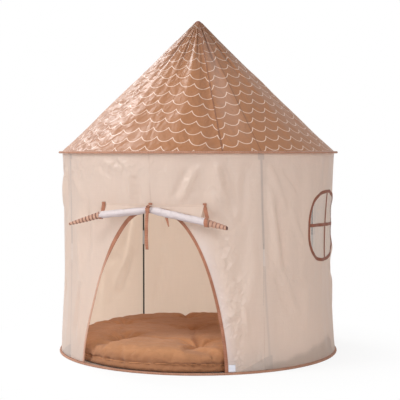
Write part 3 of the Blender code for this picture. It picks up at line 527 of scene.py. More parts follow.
@dataclass(frozen=True)
class HardFinish:
    """A rigid surface: a rod, a tube or a moulding, with marks along or all over it."""

    name: str
    colour: str
    mark: str
    roughness: float
    metallic: float = 0.0
    grain: tuple[float, float, float] = (900.0, 900.0, 12.0)
    coat: float = 0.0

    def build(self) -> Material:
        """Return the material."""
        material, tree = new_material(self.name)
        place = add_node(tree, "TexCoord", out="Object")
        run = add_node(tree, "Mapping", {"Vector": place, "Scale": self.grain})
        streak = add_node(tree, "TexNoise", {"Vector": run, "Scale": 1.0, "Detail": 3.0})
        tone = add_node(tree, "MapRange", {"Value": streak, "From Min": 0.35, "From Max": 0.65})
        colour = add_node(tree, "MixRGB", {0: tone, 1: linear(self.mark), 2: linear(self.colour)})
        rough = add_node(tree, "MapRange",
            {"Value": streak, "To Min": self.roughness - 0.08, "To Max": self.roughness + 0.12})
        bump = add_node(tree, "Bump", {"Height": streak, "Strength": 0.2, "Distance": 0.0002})
        shader = add_node(tree, "BsdfPrincipled", {"Base Color": colour, "Roughness": rough,
            "Metallic": self.metallic, "Normal": bump, "Coat Weight": self.coat, "Coat Roughness": 0.25})
        set_surface(tree, shader)
        return material


@dataclass(frozen=True)
class HookTape:
    """Nylon hook tape: white, with rows of tiny bristles a millimetre apart, drawn at 2 mm."""

    name: str = "white_nylon_hook_tape"
    colour: str = "E9EAF2"
    shade: str = "C9CAD6"
    bristle_mm: float = 2.0

    def build(self) -> Material:
        """Return the material."""
        material, tree = new_material(self.name)
        place = add_node(tree, "UVMap", out="UV", uv_map=CLOTH_UV)
        dots = add_node(tree, "TexVoronoi",
            {"Vector": place, "Scale": 1000.0 / self.bristle_mm, "Randomness": 0.15})
        tone = add_node(tree, "MapRange", {"Value": dots, "To Min": 1.0, "To Max": 0.0})
        colour = add_node(tree, "MixRGB", {0: tone, 1: linear(self.shade), 2: linear(self.colour)})
        bump = add_node(tree, "Bump", {"Height": tone, "Strength": 0.7, "Distance": 0.0006})
        shader = add_node(tree, "BsdfPrincipled",
            {"Base Color": colour, "Roughness": 0.8, "Normal": bump, "Specular IOR Level": 0.3})
        set_surface(tree, shader)
        return material


@dataclass(frozen=True)
class Finishes:
    """Every finish of the tent, built once."""

    wall: Material = field(default_factory=Taffeta("cream_polyester_taffeta", "EDDCD0", "EBD6C2",
        through=0.42, roughness=0.36, gloss=0.50, crinkle_mm=46.0, crinkle_stretch=3.2, crinkle_depth=0.0050,
        behind=PaintedShowThrough()).build)
    roof: Material = field(default_factory=Taffeta("printed_terracotta_taffeta", "AB754F", "A86E4C",
        through=0.10, roughness=0.46, crinkle_mm=40.0, crinkle_stretch=1.8, crinkle_depth=0.0110,
        crumple_mm=34.0, crumple_depth=0.0080, sheen=0.0, gloss=0.45, tone=0.90, seam_share=0.75,
        shade="5E3A28", scallops=ScallopPrint(), behind=PaintedShowThrough(rod=0.0014, colour="6E4836",
        roof=True)).build)
    lining: Material = field(default_factory=Taffeta("white_polyester_lining", "E4D8D8", "CABCBC",
        through=0.16, shade="8A7C86", crinkle_mm=22.0, crinkle_depth=0.0050, crumple_mm=20.0,
        crumple_depth=0.0035).build)
    floor: Material = field(default_factory=Taffeta("cream_coated_polyester", "DDCDBF", "C9B49E",
        through=0.05, roughness=0.5).build)
    pocket: Material = field(default_factory=Taffeta("grey_reinforcing_polyester", "B4B1AF", "A5A3A2",
        through=0.08, slub_mm=1.5).build)
    binding: Material = field(default_factory=WovenTape("brown_woven_edging_tape", "AF7A62", "8C5A45").build)
    # the binding's brown made darker, as painted shade; the windows' frames and crosses and the roof's cap
    # take it
    edging: Material = field(default_factory=WovenTape(
        "brown_woven_window_tape_with_painted_shade", "925741", "734433").build)
    hem: Material = field(default_factory=WovenTape("dark_brown_woven_hem_tape", "B78972", "986B56").build)
    muslin: Material = field(default_factory=Muslin("terracotta_cotton_muslin", "C68F66", "B17D57").build)
    net: Material = field(default_factory=Netting("white_knitted_net", "D4CCC8").build)
    hook: Material = field(default_factory=HookTape().build)
    rod: Material = field(default_factory=HardFinish(
        "black_pultruded_fibreglass", "17191A", "222425", 0.55).build)
    steel: Material = field(default_factory=HardFinish(
        "plain_steel_tube", "C9CBCE", "9A9CA0", 0.34, metallic=1.0).build)
    spring: Material = field(default_factory=HardFinish("spring_steel_wire", "A4A7AB", "7C7F84", 0.40,
        metallic=1.0, grain=(60.0, 60.0, 60.0)).build)
    plastic: Material = field(default_factory=HardFinish("grey_moulded_nylon", "A9ABB0", "999BA1", 0.48,
        grain=(420.0, 420.0, 420.0)).build)


@dataclass(frozen=True)
class Crease:
    """A soft fold along a line of the wall: two ends in degrees and height, width and depth."""

    turn_0: float
    height_0: float
    turn_1: float
    height_1: float
    width: float
    depth: float


@dataclass(frozen=True)
class Spot:
    """A soft spot on the wall: its place in degrees and height, its spreads and its amount."""

    angle: float
    height: float
    run_spread: float
    rise_spread: float
    amount: float

    def share(self, angle: np.ndarray, height: np.ndarray, radius: float) -> np.ndarray:
        """Return the spot's strength at places on the wall, 1 at its middle.

        Args:
            angle: how far round from the spot the places are, in radians.
            height: heights of the same places.
            radius: the wall's mean radius.

        Returns:
            Shares from 0 to 1.
        """
        return np.exp(
            -((angle * radius / self.run_spread) ** 2) - ((height - self.height) / self.rise_spread) ** 2)


WALL_CREASES = tuple(Crease(*row) for row in (
    (-21.0, 0.752, -12.0, 0.716, 0.010, 0.0032), (-18.0, 0.764, -8.0, 0.705, 0.009, -0.0026),
    (-14.0, 0.770, -6.5, 0.690, 0.010, 0.0026), (-25.0, 0.740, -17.0, 0.690, 0.011, -0.0024),
    (-9.5, 0.705, -8.0, 0.610, 0.011, 0.0030), (-6.5, 0.700, -4.5, 0.600, 0.010, -0.0028),
    (19.0, 0.740, 12.0, 0.608, 0.014, 0.0032), (15.0, 0.735, 9.0, 0.615, 0.011, -0.0026),
    (25.3, 0.742, 29.5, 0.600, 0.014, 0.0034), (29.0, 0.745, 34.0, 0.560, 0.016, -0.0026),
    (22.0, 0.640, 33.0, 0.520, 0.018, 0.0024), (37.0, 0.740, 36.0, 0.520, 0.015, -0.0020),
    (47.0, 0.740, 56.0, 0.560, 0.016, 0.0034), (47.5, 0.680, 53.0, 0.330, 0.020, 0.0040),
    (50.0, 0.620, 57.0, 0.350, 0.018, -0.0034), (53.0, 0.340, 63.0, 0.180, 0.018, 0.0036),
    (50.0, 0.360, 58.0, 0.200, 0.016, -0.0026), (54.0, 0.730, 64.0, 0.630, 0.014, -0.0030),
    (57.0, 0.595, 66.0, 0.450, 0.014, 0.0026), (60.0, 0.330, 72.0, 0.300, 0.020, -0.0024),
    (70.0, 0.330, 66.0, 0.130, 0.020, 0.0034), (30.5, 0.300, 36.5, 0.335, 0.007, 0.0016),
    (31.0, 0.245, 34.0, 0.290, 0.006, -0.0020), (28.5, 0.188, 35.0, 0.222, 0.006, 0.0030),
    (29.5, 0.178, 36.0, 0.207, 0.006, -0.0028), (32.5, 0.110, 34.8, 0.185, 0.006, 0.0030),
    (34.5, 0.100, 36.6, 0.170, 0.007, -0.0024), (36.0, 0.260, 38.5, 0.130, 0.011, 0.0024),
    (26.0, 0.420, 29.5, 0.400, 0.005, 0.0022), (26.4, 0.438, 30.5, 0.425, 0.005, -0.0020),
    (25.6, 0.458, 29.0, 0.452, 0.005, 0.0020), (27.3, 0.385, 31.5, 0.352, 0.007, -0.0022),
    (25.0, 0.500, 31.0, 0.300, 0.013, 0.0016), (40.0, 0.560, 33.0, 0.300, 0.024, -0.0016),
    (43.0, 0.420, 36.0, 0.130, 0.022, 0.0018), (-38.0, 0.560, -36.0, 0.240, 0.024, 0.0030),
    (-43.0, 0.700, -33.0, 0.600, 0.018, 0.0026), (-33.0, 0.640, -31.0, 0.400, 0.020, -0.0030),
    (-34.5, 0.300, -37.5, 0.060, 0.016, 0.0030), (-36.5, 0.330, -41.0, 0.100, 0.016, -0.0026),
    (-50.0, 0.730, -60.0, 0.560, 0.018, 0.0034), (-53.0, 0.740, -68.0, 0.640, 0.016, -0.0028),
    (-48.0, 0.560, -54.0, 0.260, 0.022, 0.0036), (-52.0, 0.330, -62.0, 0.140, 0.018, -0.0030),
))
SIDE_CREASES = WALL_CREASES[12:21] + WALL_CREASES[33:]

WALL_BULGES = tuple(Spot(*row) for row in (
    (105.0, 0.400, 0.130, 0.330, 0.0085), (-66.0, 0.400, 0.110, 0.330, 0.0050),
    (110.5, 0.607, 0.036, 0.030, 0.0105), (110.5, 0.405, 0.036, 0.034, 0.0110),
    (110.5, 0.510, 0.022, 0.050, 0.0040), (72.0, 0.500, 0.060, 0.110, 0.0060),
    (69.5, 0.607, 0.030, 0.028, 0.0030), (69.5, 0.410, 0.030, 0.028, 0.0030),
    (-69.5, 0.592, 0.034, 0.024, 0.0100), (-69.5, 0.415, 0.034, 0.024, 0.0100),
    (-110.5, 0.600, 0.034, 0.030, 0.0050), (-110.5, 0.410, 0.034, 0.030, 0.0050),
))

WALL_CRUMPLES = tuple(Spot(*row) for row in (
    (29.5, 0.410, 0.035, 0.070, 0.90), (32.5, 0.270, 0.040, 0.080, 0.80),
    (33.0, 0.150, 0.035, 0.080, 1.00), (40.0, 0.045, 0.090, 0.030, 0.90),
    (-15.0, 0.725, 0.075, 0.035, 1.10), (-34.0, 0.715, 0.090, 0.050, 0.55),
    (-52.0, 0.690, 0.070, 0.070, 0.45), (3.0, 0.735, 0.060, 0.030, 0.50),
    (-7.0, 0.650, 0.030, 0.050, 0.55), (15.0, 0.690, 0.040, 0.060, 0.45),
    (28.0, 0.660, 0.040, 0.070, 0.40), (-38.0, 0.300, 0.040, 0.200, 0.30),
    (56.0, 0.300, 0.080, 0.150, 0.30),
))


@dataclass(frozen=True)
class TentShape:
    """Sizes in metres and the surfaces that all the cloth follows. Angles start at the door."""

    wall_foot: float = 0.0089
    wall_top: float = 0.7774
    wall_foot_radius: float = 0.542
    wall_top_radius: float = 0.534
    mean_radius: float = 0.538
    wall_pole_dip: float = 0.008
    wall_panel_dip: float = 0.028
    roof_foot: float = 0.7866
    roof_foot_radius: float = 0.5355
    roof_tip: float = 1.2917
    roof_tip_radius: float = 0.015
    roof_pole_dip: float = 0.001
    roof_panel_dip: float = 0.009
    cloth: float = 0.0015
    fold_scale: float = 3.0
    pole_lines: tuple = ((47.3, 43.5), (-45.0, -45.0), (-133.5, -133.5), (133.0, 133.0))

    @property
    def creases(self) -> np.ndarray:
        """Return every crease of the walls as rows of run, height, run, height, width, depth."""
        rows = [astuple(crease) for crease in WALL_CREASES]
        for side in (1.0, -1.0):
            for c in SIDE_CREASES:
                rows.append((180.0 + side * c.turn_0, c.height_0, 180.0 + side * c.turn_1, c.height_1,
                    c.width * 1.1, c.depth * 0.9))
        table = np.array(rows)
        table[:, (0, 2)] = np.radians((table[:, (0, 2)] + 180.0) % 360.0 - 180.0) * self.mean_radius
        return table

    def slack(self, angle: np.ndarray) -> np.ndarray:
        """Return 0 at a pole and 1 midway between two poles."""
        return np.cos(2.0 * angle) ** 2

    def folds(self, angle: np.ndarray, height: np.ndarray) -> np.ndarray:
        """Return how far the wall's folds stand out from its smooth surface.

        Args:
            angle: angles round the tent in radians.
            height: heights of the same places.

        Returns:
            Offsets in metres, outwards positive.
        """
        wrapped = (angle + math.pi) % TURN - math.pi
        run = wrapped * self.mean_radius
        total = 0.0018 * np.sin(27.0 * angle + 3.0 * height + 0.7) * np.sin(9.0 * height + 5.0 * angle)
        total += 0.0012 * np.sin(41.0 * angle - 6.0 * height)
        for x0, z0, x1, z1, width, depth in self.creases:
            for turn in (0.0, TURN * self.mean_radius, -TURN * self.mean_radius):
                dx, dz = x1 - x0, z1 - z0
                length = math.hypot(dx, dz)
                if turn and abs(x0 + turn) > 2.4:
                    continue
                px, pz = run - x0 - turn, height - z0
                along = (px * dx + pz * dz) / length ** 2
                apart = np.abs(px * dz - pz * dx) / length
                taper = held_to_one(1.0 - (2.0 * along - 1.0) ** 4)
                size = self.fold_scale * depth * min(1.0, width / 0.015)
                total = total + size * bell(apart, width) * taper
        low = held_to_one((height - self.wall_foot) / 0.06)
        high = held_to_one((self.wall_top - height) / 0.035)
        total = total * low * low * (3.0 - 2.0 * low) * high * high * (3.0 - 2.0 * high)
        for bulge in WALL_BULGES:
            apart = (angle - math.radians(bulge.angle) + math.pi) % TURN - math.pi
            total = total + bulge.amount * bulge.share(apart, height, self.mean_radius)
        near = bell(self.pole_run(angle, height), 0.027)
        return np.where(total < 0.0, total * (1.0 - 0.95 * near), total)

    def pole_run(self, angle: np.ndarray, height: np.ndarray) -> np.ndarray:
        """Return the run along the wall from the nearest pole's line, positive to its right.

        Args:
            angle: angles round the tent in radians.
            height: heights of the same places.

        Returns:
            Runs in metres.
        """
        rise = (height - self.wall_foot) / (self.wall_top - self.wall_foot)
        runs = []
        for foot, top in self.pole_lines:
            line = np.radians(foot + (top - foot) * rise)
            runs.append(((angle - line + math.pi) % TURN - math.pi) * self.mean_radius)
        runs = np.stack(np.broadcast_arrays(*runs))
        nearest = np.argmin(np.abs(runs), axis=0)
        return np.take_along_axis(runs, nearest[None], axis=0)[0]

    def wall_radius(self, angle: np.ndarray, height: np.ndarray) -> np.ndarray:
        """Return the radius of the wall's outer face, folds included.

        Args:
            angle: angles round the tent in radians.
            height: heights of the same places.

        Returns:
            Radii in metres.
        """
        rise = (height - self.wall_foot) / (self.wall_top - self.wall_foot)
        dip = self.wall_pole_dip + (self.wall_panel_dip - self.wall_pole_dip) * self.slack(angle)
        plain = self.wall_foot_radius + (self.wall_top_radius - self.wall_foot_radius) * rise
        return plain - dip * np.sin(math.pi * rise) + self.folds(angle, height)

    def on_wall(self, angle: np.ndarray, height: np.ndarray, offset: float = 0.0) -> np.ndarray:
        """Return the points of the wall at angles and heights, at an offset outwards.

        Args:
            angle: angles round the tent in radians.
            height: heights of the same places.
            offset: how far outside the wall they are.

        Returns:
            A grid of points.
        """
        angle, height, offset = np.broadcast_arrays(*map(np.asarray, (angle, height, offset)))
        radius = self.wall_radius(angle, height) + offset
        return np.stack((radius * np.sin(angle), -radius * np.cos(angle), height), -1)

    def on_roof(self, angle: np.ndarray, rise: np.ndarray, offset: float = 0.0) -> np.ndarray:
        """Return the points of the roof at angles and shares of its height.

        Args:
            angle: angles round the tent in radians.
            rise: shares of the roof's height.
            offset: how far outside the roof they are.

        Returns:
            A grid of points.
        """
        angle, rise, offset = np.broadcast_arrays(*map(np.asarray, (angle, rise, offset)))
        dip = self.roof_pole_dip + (self.roof_panel_dip - self.roof_pole_dip) * self.slack(angle)
        radius = self.roof_foot_radius + (self.roof_tip_radius - self.roof_foot_radius) * rise
        radius = radius - dip * np.sin(math.pi * rise) + offset
        height = self.roof_foot + (self.roof_tip - self.roof_foot) * rise
        return np.stack((radius * np.sin(angle), -radius * np.cos(angle), height), -1)


def build_mesh(name: str, points: np.ndarray, faces: list, uvs: list, marks: dict | None = None) -> Object:
    """Make a smooth piece from points, faces and one UV pair for each face corner.

    Args:
        name: the piece's name.
        points: rows of x, y and z.
        faces: tuples of point numbers.
        uvs: rows of u and v in metres, in the order of the faces' corners.
        marks: attribute name to one value for each point.

    Returns:
        The new object, with its place in its mesh.
    """
    mesh = bpy.data.meshes.new(name)
    mesh.from_pydata(np.asarray(points, float).tolist(), [], faces)
    layer = mesh.uv_layers.new(name=CLOTH_UV)
    layer.data.foreach_set("uv", np.asarray(uvs, np.float32).ravel())
    for mark, values in {"seam": np.ones(len(points)), **(marks or {})}.items():
        layer = mesh.attributes.new(mark, "FLOAT", "POINT")
        layer.data.foreach_set("value", np.asarray(values, np.float32).ravel())
    mesh.validate()
    mesh.shade_smooth()
    piece = bpy.data.objects.new(name, mesh)
    bpy.context.scene.collection.objects.link(piece)
    return piece


def sheet_mesh(name: str, points: np.ndarray, flat: np.ndarray, looped: bool = False,
               marks: dict | None = None) -> Object:
    """Make an open sheet from a grid of points.

    Args:
        name: the piece's name.
        points: grid of points, rows by columns by three.
        flat: the same grid's places on the flat cloth, with one more column where looped.
        looped: whether the last column joins the first.
        marks: attribute name to a grid of values.

    Returns:
        The new object.
    """
    rows, columns = points.shape[:2]
    spans = columns if looped else columns - 1
    faces, uvs = [], []
    for row in range(rows - 1):
        for column in range(spans):
            after = (column + 1) % columns
            faces.append((row * columns + column, row * columns + after, (row + 1) * columns + after,
                (row + 1) * columns + column))
            for r, c in ((row, column), (row, column + 1), (row + 1, column + 1), (row + 1, column)):
                uvs.append(flat[r, c])
    return build_mesh(name, points.reshape(-1, 3), faces, uvs, marks)


def tube_mesh(name: str, rings: np.ndarray, along: np.ndarray, around: float,
              looped: bool = False, marks: dict | None = None) -> Object:
    """Make a closed body from rings of points, capped at both ends or joined in a loop.

    Args:
        name: the piece's name.
        rings: grid of points, one row for each ring.
        along: distance along the body for each ring, with one more where looped.
        around: length round a ring.
        looped: whether the last ring joins the first.
        marks: attribute name to a grid of values.

    Returns:
        The new object.
    """
    count, sides = rings.shape[:2]
    faces, uvs = [], []
    for row in range(count if looped else count - 1):
        above = (row + 1) % count
        for side in range(sides):
            after = (side + 1) % sides
            faces.append(
                (row * sides + side, row * sides + after, above * sides + after, above * sides + side))
            for r, s in ((row, side), (row, side + 1), (row + 1, side + 1), (row + 1, side)):
                uvs.append((along[r], around * s / sides))
    if not looped:
        for row, order in ((0, range(sides - 1, -1, -1)), (count - 1, range(sides))):
            faces.append(tuple(row * sides + s for s in order))
            uvs += [(along[row], around * s / sides) for s in order]
    piece = build_mesh(name, rings.reshape(-1, 3), faces, uvs, marks)
    tidy = bmesh.new()
    tidy.from_mesh(piece.data)
    bmesh.ops.recalc_face_normals(tidy, faces=tidy.faces)
    tidy.to_mesh(piece.data)
    tidy.free()
    piece.data.set_sharp_from_angle(angle=math.radians(55.0))
    return piece


def deselect_all() -> None:
    """Deselect every object."""
    bpy.ops.object.select_all(action="DESELECT")


def apply_modifier(piece: Object, name: str) -> None:
    """Apply one modifier of a piece.

    Args:
        piece: the piece.
        name: the modifier's name.
    """
    deselect_all()
    bpy.context.view_layer.objects.active = piece
    piece.select_set(True)
    bpy.ops.object.modifier_apply(modifier=name)
    piece.select_set(False)


def soften(piece: Object, levels: int) -> None:
    """Smooth a piece by subdividing its surface.

    Args:
        piece: the piece.
        levels: how many times its faces are divided.
    """
    soft = piece.modifiers.new("soft", "SUBSURF")
    soft.levels = soft.render_levels = levels
    apply_modifier(piece, "soft")


def join_pieces(main_piece: Object, other: Object) -> None:
    """Join another piece into a piece.

    Args:
        main_piece: the piece that stays.
        other: the piece that goes into it.
    """
    deselect_all()
    other.select_set(True)
    main_piece.select_set(True)
    bpy.context.view_layer.objects.active = main_piece
    bpy.ops.object.join()
    main_piece.select_set(False)


def thicken(piece: Object, thickness: float) -> None:
    """Give a sheet its thickness on both sides of its surface.

    Args:
        piece: the sheet.
        thickness: its thickness in metres.
    """
    wall = piece.modifiers.new("thickness", "SOLIDIFY")
    wall.thickness = thickness
    wall.offset = 0.0
    wall.use_even_offset = False
    apply_modifier(piece, "thickness")


def dress(piece: Object, material: Material, slot: Slot, body: str, *nodes: str) -> None:
    """Give a piece its finish, tie it to a body and let it stand for CAD nodes.

    Args:
        piece: the piece.
        material: its finish.
        slot: the record's material slot; not used.
        body: the body that it rides on.
        *nodes: the CAD nodes that it stands for.
    """
    piece.data.materials.clear()
    piece.data.materials.append(material)
    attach(piece, body)
    if nodes:
        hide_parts(*nodes)
    log.info("%s: %d faces on %s", piece.name, len(piece.data.polygons), body)


def hang_from_seam(piece: Object, material: Material, node: str) -> None:
    """Finish a piece that is sewn to the wall at the door's seam and hangs down to the roll below it, with
    its place baked into its mesh.

    Args:
        piece: the piece.
        material: its finish.
        node: the CAD node that it stands for.
    """
    piece.data.materials.append(material)
    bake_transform(piece)
    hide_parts(node)
    log.info("%s: %d faces from tent to door_flap", piece.name, len(piece.data.polygons))


def declare_sheet(piece: Object) -> None:
    """Read the flat shape that a sheet's UV map holds; nothing is done with it.

    Args:
        piece: the sheet, with its flat shape in its UV map.
    """
    layer = piece.data.uv_layers[CLOTH_UV].data
    flat = np.empty(len(layer) * 2, np.float32)
    layer.foreach_get("uv", flat)
    flat = flat.reshape(-1, 2).astype(float)


def ring_grid(inner: np.ndarray, outer: np.ndarray, rings: int) -> np.ndarray:
    """Return rings of (angle, height) sites from an inner outline to an outer one.

    Args:
        inner: sites of the inner outline.
        outer: sites of the outer one.
        rings: number of steps between them.

    Returns:
        A grid of sites, one row for each ring.
    """
    shares = np.linspace(0.0, 1.0, rings + 1)[:, None, None]
    return inner[None] * (1.0 - shares) + outer[None] * shares


def square_places(count: int) -> np.ndarray:
    """Return places round a square from -1 to 1, count on each side.

    Args:
        count: places on each side.

    Returns:
        Rows of x and y.
    """
    run = np.linspace(-1.0, 1.0, count + 1)[:-1]
    one = np.ones(count)
    return np.concatenate([np.stack(pair, -1) for pair in (
        (run, -one), (one, run), (-run, one), (-one, -run))])


@dataclass
class DoorArch:
    """The door's arch, measured along the wall to the middle of its binding."""

    shape: TentShape
    half_width: float = 0.2906
    height: float = 0.583
    foot_shift: float = -0.0127
    top_shift: float = 0.0101
    side_power: float = 0.91
    top_power: float = 1.38
    top_steps: int = 52
    side_steps: int = 44

    def outline(self, margin: float, count: int | None = None) -> np.ndarray:
        """Return the arch, grown by a margin, as (angle, height) sites from left to right.

        Args:
            margin: how far the outline grows, in metres.
            count: number of steps.

        Returns:
            Rows of sites.
        """
        turn = np.linspace(-1.0, 1.0, (count or 2 * (self.top_steps + self.side_steps)) + 1)
        angle = turn * math.pi / 2.0
        lift = np.maximum(np.cos(angle), 0.0) ** self.top_power
        side = np.sign(turn) * np.abs(np.sin(angle)) ** self.side_power
        run = (self.half_width + margin) * side
        run = run + self.foot_shift + (self.top_shift - self.foot_shift) * lift
        rise = self.height + margin - self.shape.wall_foot
        return np.stack((run / self.shape.mean_radius, self.shape.wall_foot + rise * lift), -1)

    def border(self) -> np.ndarray:
        """Return the edge of the front panel from its left foot over the top to its right."""
        foot, top = self.shape.wall_foot, self.shape.wall_top
        left = [(-PANEL_LIMIT, h) for h in np.linspace(foot, top, self.side_steps + 1)]
        over = [(a, top) for a in np.linspace(-PANEL_LIMIT, PANEL_LIMIT, 2 * self.top_steps + 1)]
        right = [(PANEL_LIMIT, h) for _, h in reversed(left)]
        return np.array(left + over[1:] + right[1:])


@dataclass
class WindowFrame:
    """A window's rounded outline, measured to the outer edge of its binding."""

    shape: TentShape
    side: str
    middle: float
    height: float = 0.5035
    half_width: float = 0.193
    half_height: float = 0.1355
    power: float = 2.6
    binding_width: float = 0.012

    def outline(self, margin: float, count: int = 60) -> np.ndarray:
        """Return the outline, grown by a margin, as (angle, height) sites.

        Args:
            margin: how far the outline grows, in metres.
            count: number of steps.

        Returns:
            Rows of sites.
        """
        across, up = square_places(count).T
        size = (np.abs(across) ** self.power + np.abs(up) ** self.power) ** (1.0 / self.power)
        run = (self.half_width + margin) * across / size
        rise = (self.half_height + margin) * up / size
        return np.stack((self.middle + run / self.shape.mean_radius, self.height + rise), -1)

    def border(self, count: int = 60) -> np.ndarray:
        """Return the edge of the side panel, matched to the outline's places.

        Args:
            count: places on each side.

        Returns:
            Rows of sites.
        """
        places = square_places(count)
        middle = (self.shape.wall_foot + self.shape.wall_top) / 2.0
        half = (self.shape.wall_top - self.shape.wall_foot) / 2.0
        return np.stack((self.middle + places[:, 0] * PANEL_LIMIT, middle + places[:, 1] * half), -1)


@dataclass
class SubAssembly:
    """A group of pieces that is built and dressed together."""

    shape: TentShape
    finishes: Finishes
    pieces: dict[str, Object] = field(default_factory=dict)

    def flat_sites(self, sites: np.ndarray) -> np.ndarray:
        """Return wall sites as places on flat cloth, in metres."""
        return np.stack((sites[..., 0] * self.shape.mean_radius, sites[..., 1]), -1)


@dataclass
class Walls(SubAssembly):
    """The four wall panels, with the door's arch and the windows cut from them."""

    rings: int = 40
    columns: int = 104
    rows: int = 88

    def build(self, arch: DoorArch, windows: list[WindowFrame]) -> None:
        """Make the panels.

        Args:
            arch: the door's arch.
            windows: the two windows.
        """
        sites = ring_grid(arch.outline(0.0), arch.border(), self.rings)
        self.add_panel("cloth_wall_front", sites, False, 0.0)
        for window in windows:
            hole = window.outline(-window.binding_width / 2.0)
            sites = ring_grid(hole, window.border(), self.rings)
            self.add_panel(f"cloth_wall_{window.side}", sites, True, None)
        angles = np.linspace(math.pi - PANEL_LIMIT, math.pi + PANEL_LIMIT, self.columns + 1)
        heights = np.linspace(self.shape.wall_foot, self.shape.wall_top, self.rows + 1)
        grid = np.stack(np.meshgrid(angles, heights), -1)
        self.add_panel("cloth_wall_rear", grid, False, None)

    def add_panel(self, name: str, sites: np.ndarray, looped: bool, seam_angle: float | None) -> None:
        """Make one panel from its sites, with a seam at an angle above the door.

        Args:
            name: the piece's name.
            sites: a grid of (angle, height) sites.
            looped: whether the grid closes on itself.
            seam_angle: where the seam is, or none.
        """
        points = self.shape.on_wall(sites[..., 0], sites[..., 1], -self.shape.cloth / 2.0)
        flat = self.flat_sites(sites)
        if looped:
            flat = np.concatenate((flat, flat[:, :1]), 1)
        run = self.shape.pole_run(sites[..., 0], sites[..., 1])
        crumple = 0.12
        for spot in WALL_CRUMPLES:
            apart = sites[..., 0] - math.radians(spot.angle)
            crumple = crumple + spot.amount * spot.share(apart, sites[..., 1], self.shape.mean_radius)
        # the pole mark places the painted shadow of the frame behind the wall
        marks = {"pole": held_to_one(0.5 + run / PaintedShowThrough.span), "crumple": crumple}
        if name.endswith("right"):
            low = 0.030 + 0.16 * np.clip(run, 0.0, 0.4) + 0.004 * np.sin(60.0 * run) - sites[..., 1]
            marks["shade"] = 0.42 * held_to_one(low / 0.014) * (sites[..., 0] < 2.3)
        if seam_angle is not None:
            seam = np.abs(sites[..., 0] - seam_angle) * self.shape.mean_radius
            marks["seam"] = np.where(sites[..., 1] > 0.6, seam, 1.0)
            # painted highlight along the lower part of the door's right edge
            edge = np.linalg.norm(sites - sites[:1], axis=-1) * self.shape.mean_radius
            right = held_to_one(sites[:1, :, 0] / 0.2)
            right = right * held_to_one((0.52 - sites[:1, :, 1]) / 0.1)
            marks["pale"] = 0.75 * bell(edge, 0.030) * right
        self.pieces[name] = sheet_mesh(name, points, flat, looped, marks)

    def dress(self) -> None:
        for name, piece in self.pieces.items():
            side = name.removeprefix("cloth_wall_")
            dress(piece, self.finishes.wall, Slot.WALL, "tent", f"wall_{side}")
            declare_sheet(piece)


